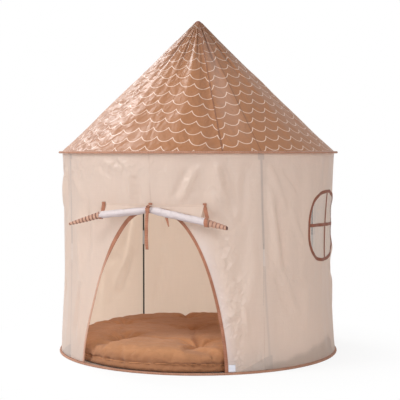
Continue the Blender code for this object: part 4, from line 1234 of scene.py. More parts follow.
@dataclass
class Roof(SubAssembly):
    """Six printed gores, and the cap on their tips."""

    names: tuple = ("front", "right_front", "right_rear", "rear", "left_rear", "left_front")
    print_shifts: tuple = ((0.0, 0.0), (-0.0219, -0.0059), (0.011, 0.017), (0.020, -0.008), (-0.013, 0.006),
        (0.008, 0.021))
    seam_turn: float = math.radians(-1.9)
    columns: int = 72
    rows: int = 88

    def ridges(self, angle: np.ndarray, rise: np.ndarray) -> np.ndarray:
        """Return how far the roof's puckers stand out from its smooth surface.

        Args:
            angle: angles round the tent in radians.
            rise: shares of the roof's height.

        Returns:
            Offsets in metres, outwards positive.
        """
        angle = (angle + math.pi) % TURN - math.pi
        out = np.zeros(np.broadcast(angle, rise).shape)
        radius = self.shape.roof_foot_radius * (1.0 - rise) + self.shape.roof_tip_radius * rise
        for row in np.ndindex(out.shape):
            a, s, r = float(angle[row]), float(rise[row]), float(radius[row])
            place = Vector((r * math.sin(a), -r * math.cos(a), 0.52 * s))
            fine = noise.ridged_multi_fractal(place * 17.0, 1.0, 2.1, 3, 1.0, 2.0) - 1.1
            wide = noise.noise(place * 9.0)
            left = math.exp(-(((a + 0.64) / 0.30) ** 2))
            out[row] = 0.0034 * wide + 0.0075 * fine * left
        pleats = -0.0065 * self.gathers(angle, rise)
        soft = 0.0036 * np.sin(13.0 * angle - 4.0 * rise) * np.sin(math.pi * rise) * self.shape.slack(angle)
        for middle, width, depth in ((-0.35, 0.05, 0.006), (0.02, 0.07, -0.004), (0.42, 0.050, -0.0110),
                (-0.70, 0.035, 0.005), (0.62, 0.06, -0.004), (1.15, 0.06, 0.004), (0.20, 0.05, 0.004),
                (-0.15, 0.045, -0.005)):
            line = middle + 0.06 * (rise - 0.5)
            soft = soft + depth * bell(angle - line, width) * np.sin(math.pi * rise) ** 0.7
        run = self.shape.pole_run(angle, np.full(angle.shape, self.shape.wall_top))
        pole = np.abs(run) * (1.0 - 0.97 * rise)
        soft = np.maximum(soft + out, -0.0045) * (1.0 - 0.9 * bell(pole, 0.012))
        soft = soft + 0.0012 * bell(pole, 0.007) - out
        edge = held_to_one(rise / 0.05)
        return (out + pleats + soft) * edge

    def gathers(self, angle: np.ndarray, rise: np.ndarray) -> np.ndarray:
        """Return the sharp valleys of the pleats below the tip, from 0 to 1.

        Args:
            angle: angles round the tent in radians.
            rise: shares of the roof's height.

        Returns:
            Shares from 0 to 1.
        """
        valley = held_to_one(1.0 - 2.2 * np.abs(np.sin(8.5 * angle + 0.4)))
        valley = valley + 0.6 * held_to_one(1.0 - 3.0 * np.abs(np.sin(6.0 * angle - 0.9)))
        return valley * held_to_one((rise - 0.52) / 0.25) * held_to_one((1.0 - rise) / 0.08)

    def build(self) -> None:
        """Make the gores, laid out flat as they were cut, and the cap."""
        shape = self.shape
        narrowing = 1.0 - shape.roof_tip_radius / shape.roof_foot_radius
        slant = math.hypot(shape.roof_foot_radius, (shape.roof_tip - shape.roof_foot) / narrowing)
        cone = shape.roof_foot_radius / slant
        step = TURN / len(self.names)
        for number, (name, shift) in enumerate(zip(self.names, self.print_shifts)):
            middle = number * step + self.seam_turn
            limit = step / 2.0 - 0.0003
            turn, rise = np.meshgrid(np.linspace(-limit, limit, self.columns + 1),
                np.linspace(0.0, 1.0, self.rows + 1) ** 0.9)
            offset = self.ridges(turn + middle, rise) - shape.cloth / 2.0
            seam = (limit - np.abs(turn)) * shape.roof_foot_radius * (1.0 - narrowing * rise)
            offset = offset + 0.0009 * bell(seam, 0.006)
            joined = np.abs(turn + middle - (self.seam_turn + step / 2.0)) < limit * 0.5
            seam = np.where(joined, seam, seam + 0.0022)
            points = shape.on_roof(turn + middle, rise, offset)
            reach = slant * (1.0 - rise * narrowing)
            flat = np.stack(
                (reach * np.sin(turn * cone) + shift[0], slant - reach * np.cos(turn * cone) + shift[1]), -1)
            run = shape.pole_run(turn + middle, np.full(rise.shape, shape.wall_top))
            run = run * (1.0 - narrowing * rise)
            whole = (turn + middle + math.pi) % TURN - math.pi
            # painted shade toward the tip, in a band left of the seam and in the pleats' valleys; painted
            # highlight on a strip right of the seam and on the left side; the pole mark places the painted
            # pole lines
            band = bell(whole - 0.41, 0.045) * held_to_one((0.85 - rise) / 0.3)
            strip = np.exp(-(((whole - 0.63) / 0.11) ** 4)) * np.sin(math.pi * rise)
            left = bell(whole + 0.72, 0.36) * held_to_one((1.0 - rise) / 0.5)
            marks = {"seam": seam, "pole": held_to_one(0.5 + run / PaintedShowThrough.span),
                     "shade": 0.44 * held_to_one((rise - 0.58) / 0.38) + 0.24 * band
                     + 0.42 * held_to_one(self.gathers(whole, rise)),
                     "pale": 0.10 * strip + 0.12 * left,
                     "crumple": 0.14 + 0.85 * bell(whole + 0.62, 0.26)}
            self.pieces[name] = sheet_mesh(f"cloth_roof_{name}", points, flat, marks=marks)
        self.pieces["cap"] = self.build_cap()

    def build_cap(self) -> Object:
        """Make the gathered cloth cap on the tip from a cone."""
        deselect_all()
        bpy.ops.mesh.primitive_cone_add(vertices=36, radius1=0.0168, radius2=0.0045, depth=0.0118,
            location=(0.0, 0.0, 1.2941))
        cap = bpy.context.object
        cap.name = "cloth_roof_cap"
        bpy.ops.object.transform_apply(location=True, rotation=True, scale=True)
        bpy.ops.object.mode_set(mode="EDIT")
        bpy.ops.mesh.select_all(action="SELECT")
        bpy.ops.mesh.bisect(plane_co=(0.0, 0.0, 1.2930), plane_no=(0.0, 0.0, 1.0))
        bpy.ops.mesh.select_all(action="SELECT")
        bpy.ops.mesh.bisect(plane_co=(0.0, 0.0, 1.2965), plane_no=(0.0, 0.0, 1.0))
        bpy.ops.object.mode_set(mode="OBJECT")
        for vertex in cap.data.vertices:
            angle = math.atan2(vertex.co.x, -vertex.co.y)
            swell = 1.0 + 0.05 * math.sin(9.0 * angle) + (0.10 if 1.2925 < vertex.co.z < 1.297 else 0.0)
            vertex.co.x *= swell
            vertex.co.y *= swell
        soften(cap, 2)
        cap.data.shade_smooth()
        for layer in list(cap.data.uv_layers):
            layer.name = CLOTH_UV
        return cap

    def dress(self, hem: Object) -> None:
        """Give the gores their print and the cap its tape.

        Args:
            hem: the eave's hem, which is sewn to the front gore; not used.
        """
        dress(self.pieces["cap"], self.finishes.edging, Slot.BINDING, "tent", "roof_tip_cap")
        for name in self.names:
            piece = self.pieces[name]
            dress(piece, self.finishes.roof, Slot.ROOF, "tent", f"roof_gore_{name}")
            declare_sheet(piece)


@dataclass
class Hems(SubAssembly):
    """The two folded hems that hold the hoops, and the floor cloth between them."""

    hoop_radius: float = 0.5457
    inner_radius: float = 0.5315
    half_height: float = 0.0043
    eave_height: float = 0.782
    segments: int = 360

    def build(self) -> None:
        """Make both hems and the floor cloth."""
        for name, middle, seed in (("eave", self.eave_height, 3.0), ("floor", self.half_height, 7.0)):
            self.pieces[name] = self.build_hem(f"hem_{name}", middle, seed)
        self.pieces["floor_cloth"] = self.build_floor()

    def build_hem(self, name: str, middle: float, seed: float) -> Object:
        """Make a hem that is full round its hoop and pinched flat where it is stitched.

        Args:
            name: the piece's name.
            middle: the hoop's height.
            seed: shift of its ripples.

        Returns:
            The hem.
        """
        profile = []
        for turn in np.linspace(-0.72 * math.pi, 0.72 * math.pi, 11):
            profile.append(
                (self.hoop_radius + self.half_height * math.cos(turn), self.half_height * math.sin(turn)))
        profile += [(0.5385, 0.0019), (0.5345, 0.0024), (self.inner_radius, 0.0016),
            (self.inner_radius, -0.0016), (0.5345, -0.0024), (0.5385, -0.0019)]
        angles = np.linspace(0.0, TURN, self.segments + 1)[:-1]
        rings = np.empty((self.segments, len(profile), 3))
        for row, angle in enumerate(angles):
            ripple = 0.0004 * math.sin(46.0 * angle + seed) + 0.0003 * math.sin(31.0 * angle * 2 + seed)
            for column, (radius, lift) in enumerate(profile):
                share = min(1.0, max(0.0, (radius - 0.534) / 0.010))
                r = radius - abs(ripple) * share
                z = middle + lift * (1.0 + 22.0 * ripple) + 0.5 * ripple * (1.0 - share)
                rings[row, column] = (r * math.sin(angle), -r * math.cos(angle), max(z, 0.0))
        along = np.append(angles, TURN) * self.hoop_radius
        return tube_mesh(name, rings, along, 0.040, looped=True)

    def build_floor(self) -> Object:
        """Make the round floor cloth with a few soft wrinkles, 1.5 mm thick."""
        radii = np.linspace(0.004, self.inner_radius - 0.0004, 34)
        angles = np.linspace(0.0, TURN, 121)[:-1]
        turn, reach = np.meshgrid(angles, radii)
        x, y = reach * np.sin(turn), -reach * np.cos(turn)
        slack = np.clip((self.inner_radius - reach) / 0.04, 0, 1)
        lift = 0.00075 + 0.0003 * np.sin(40.0 * x + 9.0 * y) * slack
        points = np.stack((x, y, np.maximum(lift, 0.0004)), -1)
        flat = np.stack((x, y), -1)
        flat = np.concatenate((flat, flat[:, :1]), 1)
        floor = sheet_mesh("cloth_floor", points, flat, looped=True)
        thicken(floor, 0.0007)
        return floor

    def dress(self) -> None:
        """Give the hems their tape and the floor its cloth."""
        for name in ("eave", "floor"):
            dress(self.pieces[name], self.finishes.hem, Slot.BINDING, "tent", f"{name}_hem_casing")
        floor = self.pieces["floor_cloth"]
        dress(floor, self.finishes.floor, Slot.FLOOR, "tent", "floor_cloth")


@dataclass
class Trims(SubAssembly):
    """Folded tape round the door and windows, the windows' nets and crosses, and the patch."""

    width: float = 0.012
    proud: float = 0.0012

    def tape_on_wall(self, name: str, inner: np.ndarray, outer: np.ndarray, looped: bool,
                     pale: np.ndarray | None = None) -> Object:
        """Make a folded tape between two outlines, puckered a little by its stitches.

        Args:
            name: the piece's name.
            inner: sites of its inner edge.
            outer: sites of its outer edge.
            looped: whether it closes on itself.
            pale: share of lighter cloth at each site, or none.

        Returns:
            The tape.
        """
        across = ((0.0, 0.2), (0.0, 0.85), (0.12, 1.0), (0.5, 0.8), (0.88, 0.92), (1.0, 0.7), (1.0, -0.7),
            (0.88, -0.92), (0.5, -0.8), (0.12, -1.0), (0.0, -0.85))
        half = self.shape.cloth / 2.0 + self.proud
        middle = -self.shape.cloth / 2.0
        steps = np.hypot(*np.diff(self.flat_sites(outer), axis=0).T)
        along = np.concatenate(((0.0,), np.cumsum(steps)))
        ripple = 0.00022 * np.sin(along * TURN / 0.011) + 0.00018 * np.sin(along * TURN / 0.027)
        rings = np.empty((len(inner), len(across), 3))
        for column, (share, side) in enumerate(across):
            site = inner * (1.0 - share) + outer * share
            offset = middle + side * (half + ripple)
            rings[:, column] = self.shape.on_wall(site[:, 0], site[:, 1], offset)
        if looped:
            along = np.append(along, along[-1] + steps[-1])
        marks = {} if pale is None else {"pale": np.repeat(pale[:, None], len(across), axis=1)}
        return tube_mesh(name, rings, along, 0.026, looped, marks)

    def build(self, arch: DoorArch, windows: list[WindowFrame]) -> None:
        """Make the tapes, nets, crosses and patch.

        Args:
            arch: the door's arch.
            windows: the two windows.
        """
        half = self.width / 2.0
        inner, outer = arch.outline(-half, 420), arch.outline(half, 420)
        thin = held_to_one((0.43 - inner[:, 1]) / 0.10) * (inner[:, 0] < 0.0)
        broad = bell(inner[:, 1] - 0.50, 0.07) * (inner[:, 0] < 0.0)
        inner += (outer - inner) * (0.45 * thin - 0.35 * broad)[:, None]
        self.pieces["door"] = self.tape_on_wall("tape_door", inner, outer, False, 0.55 * thin)
        for window in windows:
            edge, inside = window.outline(0.0, 80), window.outline(-self.width, 80)
            name = window.side
            self.pieces[f"{name}_frame"] = self.tape_on_wall(f"tape_window_{name}", inside, edge, True)
            self.pieces[f"{name}_net"] = self.build_net(window)
            self.pieces[f"{name}_cross"] = self.build_cross(window)
        self.pieces["patch"] = self.build_patch(arch)

    def build_net(self, window: WindowFrame) -> Object:
        """Make a window's net, which hangs a little slack in its frame.

        Args:
            window: the window.

        Returns:
            The net.
        """
        edge = window.outline(-self.width * 0.8, 40)
        centre = np.array((window.middle, window.height))
        shares = np.linspace(0.03, 1.0, 22)[:, None, None]
        sites = centre + (edge[None] - centre) * shares
        slack = -0.0012 - 0.0012 * (1.0 - shares[..., 0] ** 2)
        points = self.shape.on_wall(sites[..., 0], sites[..., 1], slack)
        flat = self.flat_sites(sites)
        return sheet_mesh(f"net_{window.side}", points, np.concatenate((flat, flat[:, :1]), 1), True)

    def build_cross(self, window: WindowFrame) -> Object:
        """Make the cross of tape in front of a window's net, as two ribbons in one piece.

        Args:
            window: the window.

        Returns:
            The cross.
        """
        front, thickness, half = 0.0005, 0.0014, self.width / 2.0
        reach_x = window.half_width - self.width - 0.0009
        reach_z = window.half_height - self.width - 0.0009
        parts = []
        for reach, upright, lift in ((reach_x, False, 0.0), (reach_z, True, 0.0004)):
            run = np.linspace(-reach, reach, 49)
            rings = np.empty((len(run), 6, 3))
            for column, (side, out) in enumerate(
                    ((-1.0, 0.0), (1.0, 0.0), (1.0, 0.8), (0.6, 1.0), (-0.6, 1.0), (-1.0, 0.8))):
                edge = side * half * (1.0 + 0.04 * np.sin(run * 60.0))
                x, z = (edge, run) if upright else (run, edge + 0.003 - 0.030 * run)
                offset = -self.shape.cloth + 0.0014 + lift + out * thickness - front
                rings[:, column] = self.shape.on_wall(window.middle + x / self.shape.mean_radius,
                    window.height + z, offset)
            parts.append(tube_mesh(f"cross_{window.side}_{int(upright)}", rings, run, 0.026))
        join_pieces(*parts)
        parts[0].name = f"tape_cross_{window.side}"
        return parts[0]

    def build_patch(self, arch: DoorArch) -> Object:
        """Make the square of hook tape beside the door's right foot, with its stitched edge.

        Args:
            arch: the door's arch.

        Returns:
            The patch.
        """
        start = float(arch.outline(self.width / 2.0)[-1, 0]) + 0.0022
        size, foot = 0.025, self.shape.wall_foot + 0.0006
        angles = np.linspace(start, start + size / self.shape.mean_radius, 15)
        heights = np.linspace(foot, foot + size, 15)
        turn, height = np.meshgrid(angles, heights)
        mean = self.shape.mean_radius
        edge = np.minimum.reduce([(turn - angles[0]) * mean, (angles[-1] - turn) * mean, height - heights[0],
            heights[-1] - height])
        points = self.shape.on_wall(turn, height, 0.0009 + 0.0005 * held_to_one(edge / 0.003))
        patch = sheet_mesh("hook_patch", points, self.flat_sites(np.stack((turn, height), -1)))
        thicken(patch, 0.0010)
        return patch

    def dress(self) -> None:
        """Give the trims their finishes."""
        use = self.finishes
        dress(self.pieces["door"], use.binding, Slot.BINDING, "tent", "door_binding")
        dress(self.pieces["patch"], use.hook, Slot.HOOK, "tent", "door_hook_patch")
        for side in ("left", "right"):
            frame_piece, cross = self.pieces[f"{side}_frame"], self.pieces[f"{side}_cross"]
            net = self.pieces[f"{side}_net"]
            dress(frame_piece, use.edging, Slot.BINDING, "tent", f"window_{side}_binding")
            dress(cross, use.edging, Slot.BINDING, "tent", f"window_{side}_cross")
            dress(net, use.net, Slot.NET, "tent", f"window_{side}_net")
            declare_sheet(net)


@dataclass
class RollLine:
    """The centre line and radius of the rolled door cloth, along X."""

    shape: TentShape
    radius: float = 0.0145
    seam_height: float = 0.597
    top_drop: float = 0.016
    end_drop: float = 0.060
    left_reach: float = 0.308
    right_reach: float = 0.290
    left_edge: float = 0.184
    right_edge: float = 0.208
    depth: float = 0.5333
    shares: tuple = ((-1.00, 0.95, 0.38), (-0.86, 0.75, 0.64), (-0.61, 0.37, 0.90), (-0.12, 0.08, 1.02),
        (0.00, 0.00, 0.72), (0.12, 0.09, 1.00), (0.72, 0.67, 1.00), (1.00, 1.00, 0.55))

    def section(self, place: float) -> tuple[np.ndarray, float]:
        """Return the roll's centre and radius at a place along X.

        Args:
            place: the place along X.

        Returns:
            The centre and the radius.
        """
        reach = self.left_reach if place < 0.0 else self.right_reach
        share = min(1.0, max(-1.0, place / reach))
        places, drops, sizes = (np.array(column) for column in zip(*self.shares))
        drop, size = np.interp(share, places, drops), np.interp(share, places, sizes)
        height = self.seam_height - self.top_drop - self.end_drop * drop
        return np.array((place, -self.depth, height)), self.radius * size

    def seam(self, place: float, offset: float) -> np.ndarray:
        """Return the point of the seam at a place along X.

        Args:
            place: the place along X.
            offset: how far outside the wall it is.

        Returns:
            The point.
        """
        angle = math.asin(place / self.shape.mean_radius)
        radius = float(self.shape.wall_radius(np.array(angle), np.array(self.seam_height))) + offset
        return np.array((place, -math.sqrt(radius ** 2 - place ** 2), self.seam_height))


@dataclass
class DoorRoll(SubAssembly):
    """The rolled-up door: the strip under its seam, the roll and its bound ends."""

    line: RollLine = None
    sides: int = 40

    def build(self) -> None:
        """Make the strip, the roll and the two bound ends."""
        self.pieces["apron"] = self.build_apron()
        self.pieces["roll"] = self.build_roll()
        for side in ("left", "right"):
            self.pieces[side] = self.build_end(side)

    def build_apron(self) -> Object:
        """Make the strip of door cloth that hangs from the seam to the top of the roll."""
        places = np.linspace(-0.176, 0.190, 81)
        rows = []
        for share in np.linspace(0.0, 1.0, 9):
            row = []
            for place in places:
                top = self.line.seam(place, 0.0016)
                centre, radius = self.line.section(place)
                towards = (top - centre) / np.linalg.norm(top - centre)
                bottom = centre + (radius + 0.0011) * towards
                point = top * (1.0 - share) + bottom * share
                run = bottom - top
                out = np.array((0.0, run[2], -run[1])) / max(1e-6, math.hypot(run[1], run[2]))
                pucker = 0.0006 * math.sin(place * 190.0) * math.sin(math.pi * share)
                row.append(point + out * (0.0008 + pucker))
            rows.append(row)
        points = np.array(rows)
        flat = np.stack(np.meshgrid(places, np.linspace(0.0, -0.030, 9)), -1)
        lengths = np.linalg.norm(np.diff(points, axis=0), axis=2)
        flat[1:, :, 1] = -np.cumsum(lengths, axis=0)
        strip = sheet_mesh("cloth_door_strip", points, flat,
            marks={"seam": np.abs(flat[..., 1] + 0.004) * 0.8})
        return strip

    def build_roll(self) -> Object:
        """Make the roll as a spiral section whose outer layer wrinkles along its length."""
        places = np.linspace(-self.line.left_edge - 0.006, self.line.right_edge + 0.006, 190)
        turns = np.linspace(0.0, TURN, self.sides + 1)[:-1]
        rings = np.empty((len(places), self.sides, 3))
        for row, place in enumerate(places):
            centre, radius = self.line.section(place)
            tight = math.exp(-((place / 0.016) ** 2))
            for column, turn in enumerate(turns):
                layer = 0.87 + 0.13 * ((turn + 0.9) % TURN) / TURN
                fold = 0.050 * math.sin(3.0 * turn + 14.0 * place)
                fold = fold + 0.045 * math.sin(2.0 * turn - 31.0 * place)
                spot = Vector((place * 34.0, 1.6 * math.cos(turn), 1.6 * math.sin(turn)))
                fold += 0.10 * noise.noise(spot)
                reach = radius * (layer + fold * (1.0 - 0.5 * tight)) * 0.97
                rings[row, column] = centre + reach * np.array((0.0, math.cos(turn), math.sin(turn)))
        under = 0.34 * held_to_one(0.35 - np.sin(turns))
        marks = {"crumple": np.full((len(places), self.sides), 0.8),
            "shade": np.tile(under, (len(places), 1))}
        return tube_mesh("cloth_door_roll", rings, places, TURN * self.line.radius, marks=marks)

    def build_end(self, side: str) -> Object:
        """Make a bound end: turns of edging tape, each pushed further out than the last.

        Args:
            side: left or right.

        Returns:
            The bound end.
        """
        line = self.line
        if side == "left":
            start, end, first_gap = -line.left_edge, -line.left_reach, -0.2000
        else:
            start, end, first_gap = line.right_edge, line.right_reach, 0.2252
        pitch, steps, sides = 0.0131, 170, 36
        places = np.linspace(start, end, steps)
        rings = np.empty((steps, sides, 3))
        gaps = np.empty((steps, sides))
        for row, place in enumerate(places):
            centre, radius = line.section(place)
            for column in range(sides):
                turn = TURN * column / sides
                lap = (abs(place - first_gap) * math.copysign(1.0, abs(place) - abs(first_gap)) / pitch
                       + turn / TURN - 0.5) % 1.0
                step = 0.80 + 0.24 * (1.0 - lap) ** 0.7 if lap > 0.10 else 0.80 + 0.24 * lap / 0.10
                if side == "right" and place > end - 0.003:
                    step *= 0.78
                # painted shade in the gaps between the turns of tape
                gaps[row, column] = math.exp(-((min(lap, 1.0 - lap) / 0.15) ** 2)) * 0.9
                rings[row, column] = centre + radius * step * np.array((0.0, math.cos(turn), math.sin(turn)))
        # painted shade also on the right end's face; the turns between the gaps get a painted highlight
        if side == "right":
            gaps[places > end - 0.0035] = 0.9
        return tube_mesh(f"tape_roll_end_{side}", rings, np.abs(places - start), TURN * line.radius,
            marks={"gap": gaps, "pale": 0.46 * (1.0 - gaps)})

    def dress(self, ties: tuple) -> None:
        """Give the door its cloth.

        Args:
            ties: the pieces that hang on the rolled cloth; not used.
        """
        use = self.finishes
        strip = self.pieces["apron"]
        dress(self.pieces["roll"], use.lining, Slot.DOOR, "door_flap", "door_roll")
        for side in ("left", "right"):
            dress(self.pieces[side], use.binding, Slot.BINDING, "door_flap", f"door_roll_edge_{side}")
        hang_from_seam(strip, use.wall, "door_apron")
        declare_sheet(strip)


@dataclass
class Ties(SubAssembly):
    """Ribbons that hold the roll: three ties, a knot with its bow loop, and two loose ends."""

    line: RollLine = None
    width: float = 0.014
    thickness: float = 0.0011

    def ribbon(self, name: str, path: list, out: list, widths: list, across: Vector) -> Object:
        """Make a ribbon along a path.

        Args:
            name: the piece's name.
            path: points along the ribbon's middle.
            out: the direction that the ribbon's face looks in at each point.
            widths: the ribbon's width at each point.
            across: the direction across the ribbon.

        Returns:
            The ribbon with its thickness.
        """
        side = np.array(across.normalized())
        run = np.concatenate(((0.0,), np.cumsum(np.linalg.norm(np.diff(path, axis=0), axis=1))))
        shares = np.linspace(-0.5, 0.5, 7)
        points = np.empty((len(path), 7, 3))
        for row, (point, face, width) in enumerate(zip(path, out, widths)):
            for column, share in enumerate(shares):
                curl = 0.0007 * math.sin(run[row] * 160.0) * share * 2.0
                points[row, column] = point + side * share * width + np.array(face) * curl
        flat = np.stack(np.meshgrid(shares * self.width, run), -1)[..., ::-1]
        piece = sheet_mesh(name, points, flat)
        thicken(piece, self.thickness)
        return piece

    def wrap(self, name: str, place: float, top_place: float, in_front: bool) -> Object:
        """Make a tie that hangs from the seam and goes round the roll, in front or behind.

        Args:
            name: the piece's name.
            place: where it meets the roll, along X.
            top_place: where it hangs from the seam, along X.
            in_front: whether it goes down over the roll's front.

        Returns:
            The ribbon.
        """
        centre, _ = self.line.section(place)
        reach = max(self.line.section(place + edge)[1] for edge in (-0.007, 0.0, 0.007)) + 0.0011
        top = self.line.seam(top_place, 0.0030) - np.array((0.0, 0.0, 0.004))
        towards = top - centre
        sign = 1.0 if in_front else -1.0
        start = math.atan2(towards[2], towards[1]) + sign * math.radians(28.0)
        sweep = math.radians(262.0 if in_front else 150.0)
        enter = centre + reach * np.array((0.0, math.cos(start), math.sin(start)))
        sewn = top + np.array((0.0, 0.0006, 0.011))
        path = [sewn] + [top * (1.0 - share) + enter * share for share in np.linspace(0.0, 1.0, 7)[:-1]]
        out = [(0.0, -0.8, 0.6)] * len(path)
        for turn in np.linspace(start, start + sign * sweep, 26):
            away = np.array((0.0, math.cos(turn), math.sin(turn)))
            path.append(centre + reach * away)
            out.append(away)
        return self.ribbon(name, path, out, [self.width] * len(path), Vector((1.0, 0.0, 0.0)))

    def hanging(self, name: str, top: np.ndarray, length: float, width: float, end_share: float,
                bow: float, lean: float, steps: int = 22) -> Object:
        """Make a loose end that hangs down with a slight bow and lean.

        Args:
            name: the piece's name.
            top: where it starts.
            length: its length.
            width: its width.
            end_share: the end's width as a share of the top's.
            bow: how far it bows sideways.
            lean: how far its end is shifted sideways.
            steps: points along it.

        Returns:
            The ribbon.
        """
        shares = np.linspace(0.0, 1.0, steps)
        path = [top + np.array((lean * s - bow * math.sin(math.pi * s * 0.9),
            -0.0006 * math.sin(3.0 * math.pi * s), -length * s)) for s in shares]
        widths = [width * (1.0 + (end_share - 1.0) * s) for s in shares]
        return self.ribbon(name, path, [(0.0, -1.0, 0.0)] * steps, widths, Vector((1.0, 0.0, 0.0)))

    def build(self) -> None:
        """Make the ties, the knot, the loop and the loose ends."""
        self.pieces["left"] = self.wrap("tie_left", -0.185, -0.192, False)
        self.pieces["centre"] = self.wrap("tie_centre", 0.0, 0.0, True)
        self.pieces["right"] = self.wrap("tie_right", 0.2155, 0.192, True)
        self.pieces["knot"] = self.build_knot()
        self.pieces["tail"] = self.hanging("tie_tail_ribbon", np.array((0.0, -0.54814, 0.57315)), 0.132,
            0.012, 1.0, 0.004, 0.0)
        centre, radius = self.line.section(0.066)
        inner_top = centre - np.array((0.0, 0.0, radius + 0.0006))
        self.pieces["inner"] = self.hanging("tie_inner_end", inner_top, 0.032, 0.012, 0.3, 0.0, 0.0085, 10)

    def build_knot(self) -> Object:
        """Make the knot from a rounded block, pinched at its middle, with its bow loop."""
        centre = np.array((0.0, -0.5481, 0.581))
        deselect_all()
        bpy.ops.mesh.primitive_cube_add(size=1.0, location=centre.tolist())
        knot = bpy.context.object
        knot.name = "tie_knot"
        knot.scale = (0.0158, 0.0045, 0.0135)
        bpy.ops.object.transform_apply(location=True, rotation=True, scale=True)
        bpy.ops.object.mode_set(mode="EDIT")
        bpy.ops.mesh.select_all(action="SELECT")
        bpy.ops.mesh.subdivide(number_cuts=4)
        bpy.ops.object.mode_set(mode="OBJECT")
        for vertex in knot.data.vertices:
            x, z = vertex.co.x / 0.0079, (vertex.co.z - centre[2]) / 0.00675
            pinch = 1.0 - 0.22 * math.exp(-((z / 0.35) ** 2))
            vertex.co.x *= pinch
            vertex.co.y += 0.0007 * math.sin(6.0 * z + 2.0 * x) * (1.0 if vertex.co.y < centre[1] else 0.0)
        soften(knot, 2)
        knot.data.shade_smooth()
        for layer in list(knot.data.uv_layers):
            layer.name = CLOTH_UV
        path, out, widths = [], [], []
        for turn in np.linspace(math.radians(-62.0), math.radians(206.0), 30):
            share = (turn + math.radians(62.0)) / math.radians(268.0)
            path.append(np.array((
                0.0025 + 0.0056 * math.cos(turn), centre[1] - 0.0012 - 0.0008 * math.sin(math.pi * share),
                centre[2] + 0.0095 + 0.0062 * math.sin(turn))))
            out.append((math.cos(turn), 0.0, math.sin(turn)))
            widths.append(0.0055)
        loop = self.ribbon("tie_loop", path, out, widths, Vector((0.0, 1.0, 0.35)))
        join_pieces(knot, loop)
        return knot

    def dress(self) -> None:
        """Give the ribbons their tape."""
        use = self.finishes.binding
        for name in ("left", "centre", "right"):
            hang_from_seam(self.pieces[name], use, f"door_tie_{name}")
        dress(self.pieces["knot"], use, Slot.BINDING, "door_flap", "door_tie_knot")
        dress(self.pieces["inner"], use, Slot.BINDING, "door_flap", "tie_end_inner")
        dress(self.pieces["tail"], use, Slot.BINDING, "loose_tie", "tie_tail")


@dataclass
class PoleSet(SubAssembly):
    """The poles, hoops, elbows and hub of the frame, and the cloth pockets of the poles' feet."""

    foot_angles: tuple = (("front_right", 47.3), ("front_left", -45.0), ("rear_left", -133.5),
        ("rear_right", 133.0))
    pocket_width: float = 0.110
    pocket_height: float = 0.052
    pole_radius: float = 0.5206

    def build(self) -> None:
        """Make the four pockets."""
        for name, degrees in self.foot_angles:
            self.pieces[name] = self.build_pocket(name, math.radians(degrees))

    def build_pocket(self, name: str, angle: float) -> Object:
        """Make a three-cornered pocket that bulges round a pole's foot.

        Args:
            name: the pole's place, such as front_left.
            angle: the pole's angle in radians.

        Returns:
            The pocket.
        """
        depth = self.shape.wall_foot_radius - self.pole_radius + 0.0035 + 0.0008
        seam, foot = self.shape.cloth + 0.0042, self.shape.wall_foot + 0.0004
        shares = np.linspace(0.0, 1.0, 25)
        rows = []
        for up in np.linspace(0.0, 1.0, 11):
            row = []
            for share in shares:
                run = 0.011 - (0.011 + self.pocket_width) * share
                bulge = math.exp(-((run / 0.012) ** 2))
                slack = max(0.0, 1.0 + run / self.pocket_width)
                inward = seam + (depth - seam) * max(bulge, 0.0 if run > 0 else 0.86 * slack ** 1.3)
                height = foot + (self.pocket_height * min(1.0, slack + 0.02) + 0.004) * up
                a = angle + run / self.shape.mean_radius
                radius = float(self.shape.wall_radius(np.array(a), np.array(height))) - inward
                row.append((radius * math.sin(a), -radius * math.cos(a), height))
            rows.append(row)
        points = np.array(rows)
        flat = np.stack(np.meshgrid(shares * 0.121, np.linspace(0.0, 0.056, 11)), -1)
        pocket = sheet_mesh(f"pocket_{name}", points, flat)
        thicken(pocket, 0.0008)
        return pocket

    def dress(self) -> None:
        """Give the pockets their cloth and the frame's own nodes their metals and plastics."""
        for name, _ in self.foot_angles:
            dress(self.pieces[name], self.finishes.pocket, Slot.POCKET, "tent", f"pole_pocket_{name}")
        finish_of = (("wall_pole_ferrule", self.finishes.steel), ("wall_pole", self.finishes.rod),
            ("roof_pole", self.finishes.rod), ("eave_elbow", self.finishes.plastic),
            ("apex_hub", self.finishes.plastic), ("eave_hoop", self.finishes.spring),
            ("floor_hoop", self.finishes.spring))
        for name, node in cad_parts.items():
            for start, material in finish_of:
                if name.startswith(start):
                    node.data.materials.clear()
                    node.data.materials.append(material)
                    log.info("%s: %s", name, material.name)
                    break


